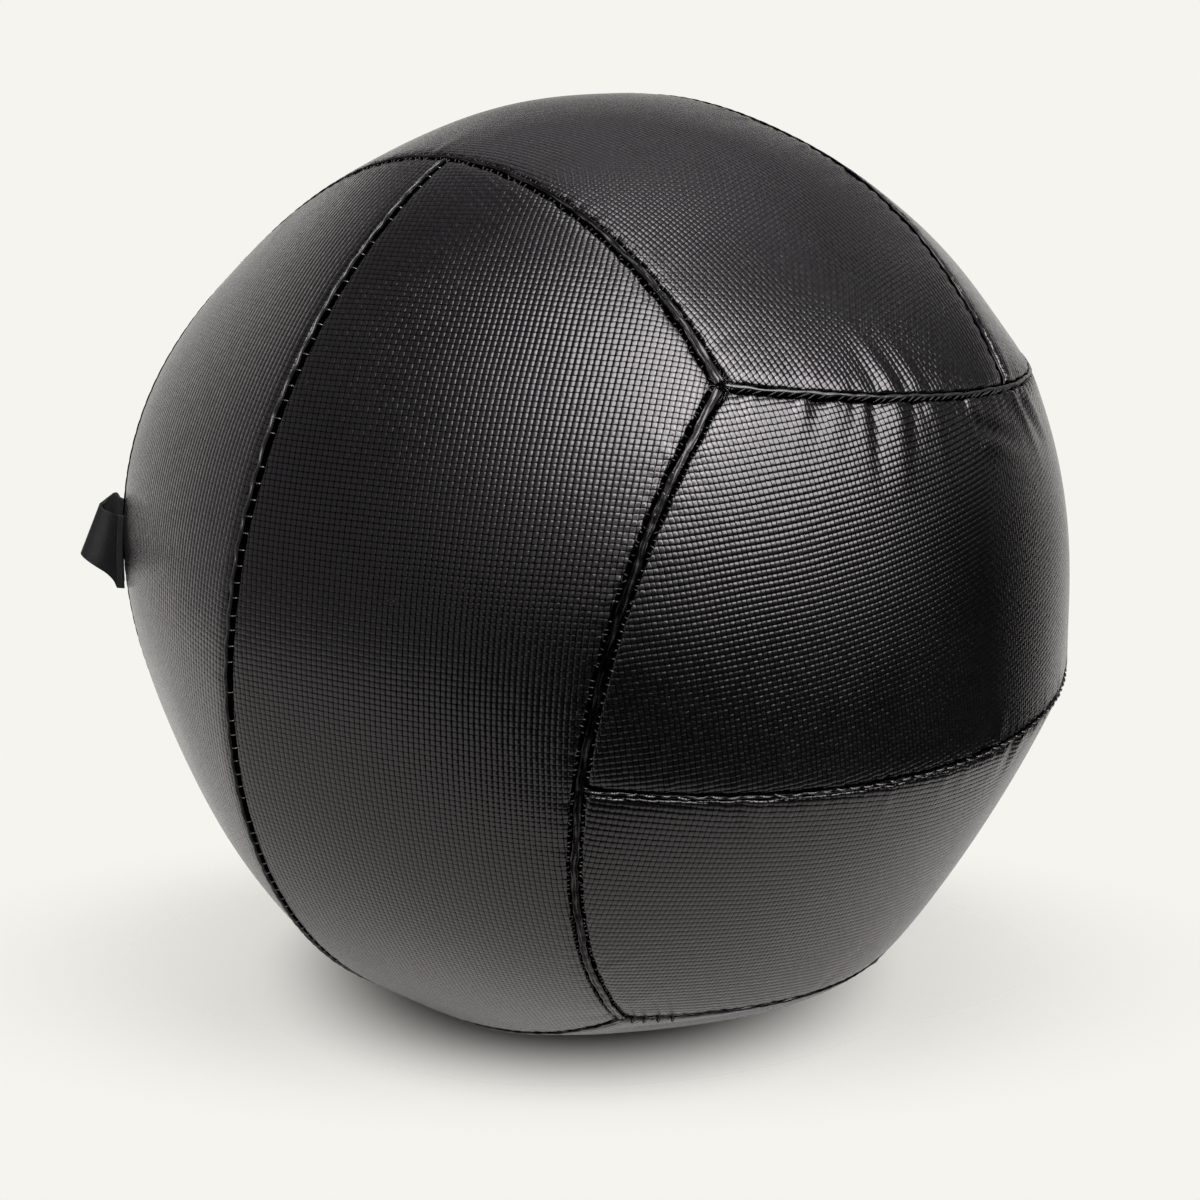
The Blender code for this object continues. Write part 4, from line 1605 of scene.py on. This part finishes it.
@dataclass
class Sewing:
    """All welts, thread and gathers."""

    form: BallForm
    seams: dict[str, Seam]

    def build(self, effects: Effects) -> None:
        """Builds, dresses and seats the sewing of each seam and each corner."""
        looks = (FOLDED_WELT, ROUND_WELT_PAINTED_HIGHLIGHT, GROOVE_PAINTED_SHADE, SEWING_THREAD, DARK_THREAD)
        # gap: the groove finish, painted shade at the bottom of each groove.
        welt, round_welt_painted_highlight, gap, thread, dark_thread = (look.build(effects) for look in looks)
        for seam in self.seams.values():
            # Smooth seams take the round welt, whose lighter colour is a painted highlight.
            finishes = [round_welt_painted_highlight if seam.look.smooth else welt, gap]
            settle(Welt(seam).build(), "ball", "folded_welt", finishes, [f"welt_{seam.label}"])
            sewn = SeamThread(seam)
            for piece, finish in ((sewn.bright(), thread), (sewn.dark(), dark_thread)):
                if piece:
                    settle(piece, "ball", "folded_welt", [finish])
        for corner in np.ndindex(2, 2, 2):
            signs = tuple(2 * c - 1 for c in corner)
            for kind, finish in ((CornerGather, welt), (CornerTuft, thread)):
                settle(kind(self.form, signs).build(), "ball", "folded_welt", [finish])


# Foam, wadding and weight bag, inside the cover.


@dataclass
class StuffedHalf:
    """The upper or lower half of a layer between the cover and the weight bag."""

    form: BallForm
    name: str
    upper: bool
    outer_inset: float
    inner_inset: Optional[float] = None
    waver: float = 0.0
    half_gap: float = 0.15 * MM
    bag_room: float = 67.0 * MM
    neck_room: float = 20.0 * MM
    neck_top: float = 95.0 * MM
    first_rise: float = 88.5
    turns: int = 120
    rises: int = 40

    def directions(self, rises: Array) -> Array:
        """Unit directions at these heights in degrees, all the way round each."""
        turn = round_angles(self.turns)[None, :]
        rise = np.radians(rises)[:, None]
        sign = 1 if self.upper else -1
        return stacked(np.cos(rise) * np.cos(turn), np.cos(rise) * np.sin(turn), sign * np.sin(rise))

    def outer(self, directions: Array) -> Array:
        """Points of the outside in these directions, drawn in by slow sines of them, never pushed out."""
        x, y, z = directions.T
        wave = np.sin(9 * x + 4 * z) * np.sin(11 * y - 3 * x)
        wave = wave + 0.6 * np.sin(17 * x + 2) * np.sin(19 * z + 13 * y)
        drawn_in = (self.waver * (0.5 + 0.31 * wave))[:, None]
        return self.form.layer(directions, self.outer_inset) - directions * drawn_in

    def inner(self, directions: Array) -> Array:
        """Points of the inside: an even layer, or the bag's room, a ball with a round well for its neck."""
        if self.inner_inset is not None:
            return self.form.layer(directions, self.inner_inset)
        x, y, z = directions.T
        side, top = self.neck_room / np.maximum(np.hypot(x, y), TINY), self.neck_top / np.maximum(z, TINY)
        radius = np.maximum(self.bag_room, np.where(z > 0, np.minimum(side, top), 0))
        return directions * radius[:, None] + self.form.centre

    def build(self, finish: Material) -> None:
        """Builds, dresses and seats the half: an outer skin down to the flat cut, and the hollow back up."""
        cut = math.degrees(self.half_gap / (self.form.seam_radius - self.outer_inset))
        rises = np.linspace(self.first_rise, cut, self.rises)
        pole = self.directions(np.array((90.0,)))[:1]
        outside = self.directions(rises)
        inside = self.directions(rises[::-1])
        rings, poles = (self.outer(outside), self.inner(inside)), (self.outer(pole), self.inner(pole))
        points = np.concatenate((*rings, *poles))
        faces = solid_outward(points, list(tube_faces(1, 2 * self.rises, self.turns)))
        piece = make_piece(f"{self.name}_piece", points, faces)
        settle(piece, "ball", self.name.split("_")[0], [finish], [self.name])


@dataclass
class WeightBag:
    """The canvas bag of iron sand at the centre, its pleated neck, and the cord that ties it."""

    form: BallForm
    radius: float = 66.0 * MM
    thickness: float = 1.5 * MM
    mouth_radius: float = 16.0 * MM
    neck_radius: float = 8.0 * MM
    neck_height: float = 16.0 * MM
    frill_radius: float = 15.0 * MM
    frill_height: float = 12.0 * MM
    tie_radius: float = 2.0 * MM
    fit_gap: float = 0.3 * MM
    pleats: int = 16
    pleat_depth: float = 0.16
    shoulder: float = 0.86
    sag: float = 0.004
    turns: int = 192
    neck_rows: int = 26
    body_rows: int = 56
    bottom_gap: float = 0.02
    tie_turns: int = 128
    tie_sides: int = 20
    ply_depth: float = 0.07

    def profile(self) -> Array:
        """The bag's outline from the frill's rim to the bottom, as (radius, height) places."""
        start = math.asin(self.mouth_radius / self.radius)
        arc = np.linspace(start, math.pi - self.bottom_gap, self.body_rows)
        body = np.stack((np.sin(arc), np.cos(arc)), axis=-1) * self.radius
        tie = self.radius + self.neck_height
        frill = tie + self.frill_height
        corners = np.array(
            (
                (self.frill_radius, frill), (0.5 * (self.frill_radius + self.neck_radius), tie + 6 * MM),
                (self.neck_radius, tie + self.tie_radius), (self.neck_radius, tie - self.tie_radius),
                (self.neck_radius * 1.25, tie - 0.5 * self.neck_height), body[0],
            )
        )
        step = np.linspace(0, len(corners) - 1, self.neck_rows, endpoint=False)
        neck = np.stack([np.interp(step, range(len(corners)), corners[:, k]) for k in (0, 1)], axis=-1)
        return np.concatenate((neck, body))

    def bag(self) -> Object:
        """The canvas: its outline turned round the upright axis, and closed with a point at the bottom.

        The pleats are a cosine round it that grows from the bag's shoulder to the frill.
        """
        outline = self.profile()
        turn = round_angles(self.turns)[None, :]
        high = np.clip((outline[:, 1] - self.shoulder * self.radius) / (0.5 * self.radius), 0, 1)[:, None]
        wide = outline[:, :1] * (1 - self.pleat_depth * high * (0.5 + 0.5 * np.cos(self.pleats * turn)))
        lumps = 1 + np.sin(3 * turn + 1) * np.sin(4 * outline[:, 1:] / self.radius)
        wide = wide * (1 - self.sag * (1 - high) * lumps)
        ring = stacked(wide * np.cos(turn), wide * np.sin(turn), outline[:, 1:] + self.form.centre_height)
        points = np.concatenate((ring, [(0, 0, self.form.centre_height - self.radius)]))
        quads, cap = capped_faces(len(outline), self.turns, last=True)
        body = quads[self.neck_rows * self.turns:]
        if faces_outward(points, body, self.form.centre) is not body:
            quads, cap = quads[:, ::-1], cap[:, ::-1]
        lengths = np.concatenate(([0], np.cumsum(np.hypot(*np.diff(outline, axis=0).T))))[:, None]
        cloth = np.concatenate((stacked(turn * 0.6 * self.radius, lengths), [(0, lengths[-1, 0])]))
        piece = make_piece("bag_canvas", points, [quads, cap], cloth)
        thicken(piece, "canvas", self.thickness)
        return piece

    def tie(self) -> Object:
        """The cord: a ring round the neck, with twisted plies."""
        middle = self.neck_radius + self.tie_radius + self.fit_gap
        turn = round_angles(self.tie_turns)[:, None]
        round_it = round_angles(self.tie_sides)[None, :]
        thick = self.tie_radius * (1 - self.ply_depth * (0.5 + 0.5 * np.cos(3 * round_it + 10 * turn)))
        away = middle + thick * np.cos(round_it)
        high = self.form.centre_height + self.radius + self.neck_height + thick * np.sin(round_it)
        points = stacked(away * np.cos(turn), away * np.sin(turn), high)
        quads = grid_faces(self.tie_turns + 1, self.tie_sides, wrap=True) % len(points)
        return make_piece("bag_tie_cord", points, solid_outward(points, [quads]))

    def build(self, canvas: Material, cord: Material) -> None:
        """Builds, dresses and seats the bag and its tie."""
        settle(self.bag(), "ball", "canvas", [canvas], ["weight_bag"])
        settle(self.tie(), "ball", "cord", [cord], ["weight_bag_tie"])


@dataclass
class Filling:
    """Everything inside the cover."""

    form: BallForm
    foam_inset: float = 3.1 * MM
    foam_thickness: float = 10.0 * MM
    foam_waver: float = 0.3 * MM
    layer_gap: float = 0.9 * MM
    wadding_waver: float = 1.2 * MM

    def build(self, effects: Effects) -> None:
        """Builds the layers and the bag, and gives the sand's solid its finish."""
        foam, wadding = FOAM.build(effects), WADDING.build(effects)
        inner = self.foam_inset + self.foam_thickness
        for word, upper in (("upper", True), ("lower", False)):
            StuffedHalf(
                self.form, f"foam_layer_{word}", upper, self.foam_inset, inner, self.foam_waver
            ).build(foam)
            StuffedHalf(
                self.form, f"wadding_{word}", upper, inner + self.layer_gap, waver=self.wadding_waver
            ).build(wadding)
        WeightBag(self.form).build(BAG_CANVAS.build(effects), TIE_CORD.build(effects))
        solid = bpy.data.objects["weight_fill"]
        solid.data.materials.clear()
        solid.data.materials.append(IRON_SAND.build(effects))
        log.info("weight_fill: finish given to its solid")


# The hang loop.


@dataclass
class HangLoop:
    """The loop of folded webbing at the left: sewn on a slant, so that its lower corner stands out most."""

    form: BallForm
    thickness: float = 1.2 * MM
    fold_radius: float = 4.2 * MM
    fold_share: float = 0.40
    root_half: float = 0.9 * MM
    tail_depth: float = 2.6 * MM
    root: Pair = (-20.0 * MM, 8.6 * MM)
    fold: Pair = (-9.0 * MM, 8.8 * MM)
    reach: Pair = (11.6 * MM, 6.2 * MM)
    slant: float = 2.8 * MM
    hump: float = 2.6 * MM
    hump_spread: float = 2.3
    bend: float = 0.45 * MM
    shift: float = 11.0 * MM
    hinge_width: float = 28.0 * MM
    welt_proud: float = 0.5 * MM
    fit_gap: float = 0.3 * MM
    across_rows: int = 41
    fold_rows: int = 40
    leg_rows: int = 12
    tail_rows: int = 6

    def line(self, reach: Array) -> tuple[Array, Array]:
        """Middle lines of the webbing, as places across and out from tail to tail: keyholes.

        Each tail comes up beside the welt, a straight leg runs to where it touches the fold's
        circle, and the fold goes round that circle.

        Args:
            reach: how far out the fold stands, a column with one row for each line.

        Returns:
            The places across and the places out, one line a row.
        """
        circle = np.minimum(self.fold_radius, self.fold_share * reach)
        out = reach - self.thickness / 2 - circle
        far = np.hypot(self.root_half, out)
        lean = np.arcsin(circle / far) - np.arctan2(self.root_half, out)
        share = np.linspace(0, 1, self.leg_rows, endpoint=False)[None, :]
        leg_across = self.root_half + (circle * np.cos(lean) - self.root_half) * share
        leg = (leg_across, (out - circle * np.sin(lean)) * share)
        down = np.linspace(1, 0, self.tail_rows, endpoint=False)[None, :] + 0 * reach
        tail = (np.full(down.shape, self.root_half), -self.tail_depth * down)
        turn = -lean + (math.pi + 2 * lean) * np.linspace(0, 1, self.fold_rows + 1)[None, :]
        fold = (circle * np.cos(turn), out + circle * np.sin(turn))
        back = [(-across[:, ::-1], height[:, ::-1]) for across, height in (leg, tail)]
        across, height = (np.concatenate(parts, axis=1) for parts in zip(tail, leg, fold, *back))
        return across, height

    def axes(self) -> tuple[Array, Array]:
        """Place of the hinge line's middle, and the directions across the seam, along it and out."""
        ring = math.sqrt(1 - EDGE_LEVEL**2)
        angle = self.shift / (ring * self.form.seam_radius)
        spots = [
            ring * np.array((math.cos(a), 0, math.sin(a))) + np.array((0, -EDGE_LEVEL, 0))
            for a in (angle, angle + self.hinge_width / self.form.seam_radius / 2)
        ]
        here, above = self.form.surface(np.array(spots), np.full(2, -self.welt_proud))
        out = unit(here - self.form.centre)
        along = unit(above - here)
        across = unit(np.cross(along, out))
        along = np.cross(out, across)
        lift = self.fit_gap + self.root_half + self.thickness / 2
        return here + out * lift, np.stack((across, along, out))

    def build(self, effects: Effects) -> None:
        """Builds, dresses and seats the loop.

        A keyhole line for each place across the webbing, with the reach between its high and low
        values. The places along the hinge go from the root's to the fold's with the square root
        of the share of the reach, and slant from one layer to the other. The root bends with the
        round of the ball, and the far layer's upper corner stands up in a hump.
        """
        share = np.linspace(0, 1, self.across_rows)[:, None]
        ranges = (self.reach, self.root, self.fold)
        reach, root, fold = (low + (high - low) * share for low, high in ranges)
        across, out = self.line(reach)
        folded = np.sqrt(np.clip(out / reach, 0, 1))
        step = np.linspace(0, 1, across.shape[1])[None, :]
        along = root + (fold - root) * folded - self.slant * np.cos(math.pi * step) * (0.4 + 0.6 * share)
        side = np.clip(self.hump_spread * (1 - step), 0, 1)
        along = along + self.hump * share**3 * np.sin(math.pi * side) ** 2
        out = out - (1 - folded) * along**2 / (2 * self.form.seam_radius)
        bend = self.bend * np.sin(2.6 * share + 7 * step) * folded
        local = np.stack((across + bend, along, out), axis=-1)
        steps = np.linalg.norm(np.diff(local, axis=1), axis=2)
        lengths = np.concatenate((np.zeros((len(share), 1)), np.cumsum(steps, axis=1)), axis=1)
        place, turn = self.axes()
        points = place + local.reshape(-1, 3) @ turn
        rows, columns = across.shape
        middle = place + np.array((0, -3 * MM, 0.6 * self.reach[0])) @ turn
        quads = faces_outward(points, grid_faces(rows, columns), middle)
        piece = make_piece("hang_loop_webbing", points, [quads], stacked(root, lengths))
        thicken(piece, "webbing", self.thickness, 0)
        settle(piece, "hang_loop", "webbing", [LOOP_WEBBING.build(effects)], ["hang_loop"])


# The studio.


@dataclass(frozen=True)
class Lamp:
    """A square lamp that looks at the ball, with a brighter middle that only gloss sees.

    Around is in degrees from the camera's side to the right, and up is in degrees above the floor.
    Far is from the ball's centre, and size is the square's side. Radiance is its brightness, and
    shine is what its middle adds to that. Lights and shines say whether its face gives light and
    whether gloss shows it.
    """

    name: str
    around: float
    up: float
    far: float
    size: float
    radiance: float
    shine: float = 0.0
    lights: bool = True
    shines: bool = True


LAMPS: tuple[Lamp, ...] = (
    Lamp("key", 11, 49, 1.5, 1.08, 1.6, 10.6),
    Lamp("side", 46, 33, 1.5, 1.16, 0.5, 9.8),
    Lamp("crown", 60, 83, 1.5, 0.42, 7.5, lights=False),
    Lamp("sky", 160, 82, 1.5, 1.20, 3.4, shines=False),
)


@dataclass(frozen=True)
class Card:
    """A dark curved card that only gloss sees: part of a ball of radius far about the ball's centre.

    Around and up are ranges in degrees, as for a lamp, and level is the card's brightness.
    """

    name: str
    around: Pair
    up: Pair
    far: float
    level: float


CARDS: tuple[Card, ...] = (
    Card("card_front", (-24, 118), (-34, 9), 0.9, 0.04),
    Card("card_above", (95, 215), (28, 89), 2.2, 0.14),
    Card("card_above_left", (215, 335), (28, 89), 2.2, 0.30),
    Card("card_low_bar", (100, 215), (40, 50), 2.1, 0.75),
    Card("card_high_bar", (84, 215), (60, 71), 2.1, 0.75),
    Card("card_left", (-120, -27), (-12, 28), 2.2, 0.38),
    Card("card_right", (76, 135), (8, 60), 2.3, 0.18),
)


@dataclass
class Studio:
    """Floor, lamps, dark cards, pale surroundings and camera."""

    form: BallForm
    pale: Three = (0.913, 0.905, 0.863)
    card_colour: Three = (0.91, 0.875, 0.90)
    camera_far: float = 0.479
    camera_up: float = 13.0
    focal_share: float = 1177.5 / 1200
    rise_share: float = 36 / 1200
    floor_reach: Pair = (0.01, 0.60)
    floor_rings: int = 60
    floor_turns: int = 96
    floor_colour: Three = (0.93, 0.885, 0.86)
    # Painted contact shadow: the floor's colour is this dark tone at the ball's foot, and turns to the floor
    # colour over the fade's distances.
    contact_colour: Three = (0.32, 0.26, 0.245)
    contact_fade: Pair = (0.050, 0.108)
    shadow_middle: Three = (-0.008, 0.0, 0.0)
    shadow_shapes: tuple[Three, Three] = ((1.25, 1.65, 1.0), (0.9, 2.4, 1.0))
    shadow_fades: tuple[tuple[float, ...], ...] = ((0.098, 0.180, 0.7, 0.0), (0.15, 0.30, 0.3, 0.0))
    fill_level: float = 0.19
    middle_share: float = 0.86
    card_grid: tuple[int, int] = (24, 12)

    def add_world(self) -> None:
        """Even pale surroundings: their own level to the camera and in gloss, and a softer one as light."""
        world = bpy.data.worlds.new("pale surroundings")
        bpy.context.scene.world = world
        world.use_nodes = True
        w = Wiring(world.node_tree)
        shader = world.node_tree.nodes["Background"]
        path = w.node("ShaderNodeLightPath").outputs
        seen = w.math("MAXIMUM", path["Is Camera Ray"], path["Is Glossy Ray"])
        seen = w.math("MAXIMUM", seen, path["Is Transmission Ray"])
        level = w.ranged(seen, 0.0, 1.0, self.fill_level, 1.0, smooth=False)
        w.fill(shader, Color=(*self.pale, 1), Strength=level)

    def add_floor(self) -> None:
        """A pale round floor that fades out, fast near the ball and then slowly, into the surroundings, and
        darkens near the ball's foot with a painted contact shadow.
        """
        radius = np.linspace(*self.floor_reach, self.floor_rings)[:, None]
        angle = round_angles(self.floor_turns)
        rings = stacked(radius * np.cos(angle), radius * np.sin(angle), 0 * radius)
        faces = [group[:, ::-1] for group in capped_faces(self.floor_rings, self.floor_turns)]
        floor = make_piece("floor", np.concatenate((rings, [(0, 0, 0)])), faces)
        made, w, shader = new_material("pale floor")
        place = w.node("ShaderNodeTexCoord").outputs["Object"]
        # Painted contact shadow: a darker colour near the ball's foot, out to the end of the fade.
        outside_painted_shadow = w.ranged(w.length(place), *self.contact_fade)
        colour = w.blend(outside_painted_shadow, self.contact_colour, self.floor_colour)
        spot = w.vector("SUBTRACT", place, self.shadow_middle)
        shares = [
            w.ranged(w.length(w.vector("MULTIPLY", spot, shape)), *fade)
            for shape, fade in zip(self.shadow_shapes, self.shadow_fades)
        ]
        alpha = w.math("ADD", *shares)
        w.fill(shader, Base_Color=colour, Roughness=0.9, Specular_IOR_Level=0.1, Alpha=alpha)
        floor.data.materials.append(made)

    def add_lamp(self, lamp: Lamp) -> None:
        """Adds a lamp, after its middle where it has one."""
        if lamp.shine:
            name, size = f"{lamp.name}_middle", self.middle_share * lamp.size
            self.add_lamp(replace(lamp, name=name, size=size, radiance=lamp.shine, shine=0.0, lights=False))
        data = bpy.data.lights.new(lamp.name, "AREA")
        data.shape = "SQUARE"
        data.size = lamp.size
        data.energy = lamp.radiance * math.pi * lamp.size**2
        made = bpy.data.objects.new(lamp.name, data)
        made.visible_diffuse, made.visible_glossy = lamp.lights, lamp.shines
        bpy.context.scene.collection.objects.link(made)
        self.aim(made, lamp.around, lamp.up, lamp.far)

    def aim(self, thing: Object, around: float, up: float, far: float) -> None:
        """Puts a thing round the ball and turns it to look at the ball's centre."""
        a, e = math.radians(around), math.radians(up)
        back = Vector((math.sin(a) * math.cos(e), -math.cos(a) * math.cos(e), math.sin(e)))
        thing.location = Vector(self.form.centre) + back * far
        thing.rotation_mode = "QUATERNION"
        thing.rotation_quaternion = (-back).to_track_quat("-Z", "Y")

    def add_card(self, plan: Card) -> None:
        """Adds a dark card."""
        columns, rows = self.card_grid
        a = np.radians(np.linspace(*plan.around, columns))[:, None]
        e = np.radians(np.linspace(*plan.up, rows))[None, :]
        place = stacked(np.sin(a) * np.cos(e), -np.cos(a) * np.cos(e), np.sin(e))
        points = place * plan.far + self.form.centre
        card = make_piece(plan.name, points, [grid_faces(columns, rows)])
        made, w, shader = new_material(plan.name)
        w.fill(shader, Base_Color=(0, 0, 0, 1), Specular_IOR_Level=0)
        w.fill(shader, Emission_Color=(*self.card_colour, 1), Emission_Strength=plan.level)
        card.data.materials.append(made)
        card.visible_camera = card.visible_diffuse = False
        card.visible_shadow = card.visible_transmission = False

    def add_camera(self) -> None:
        """The photograph's camera: close, a little above, looking at the ball's centre."""
        data = bpy.data.cameras.new("camera")
        camera = bpy.data.objects.new("camera", data)
        bpy.context.scene.collection.objects.link(camera)
        data.sensor_width = 36
        data.lens = 36 * self.focal_share
        data.shift_y = -self.rise_share
        data.clip_start = 0.01
        self.aim(camera, 0, self.camera_up, self.camera_far)
        bpy.context.scene.camera = camera

    def build(self) -> None:
        """Sets up the whole studio."""
        self.add_world()
        self.add_floor()
        for lamp in LAMPS:
            self.add_lamp(lamp)
        for card in CARDS:
            self.add_card(card)
        self.add_camera()


def main() -> None:
    """Builds the ball's looks in order."""
    logging.basicConfig(level=logging.INFO, format="%(name)s %(message)s")
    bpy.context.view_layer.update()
    bpy.context.scene.view_settings.view_transform = "Standard"
    for name in ("Cube", "Light", "Camera"):
        if name in bpy.data.objects:
            bpy.data.objects.remove(bpy.data.objects[name])
    form = BallForm()
    seams = {seam.label: seam for seam in all_seams(form)}
    effects = Effects(weave_group(), drift_group(), tone_group(), twist_group())
    Studio(form).build()
    for part in (Cover(form, seams), Sewing(form, seams), Filling(form), HangLoop(form)):
        part.build(effects)


if __name__ == "__main__":
    main()
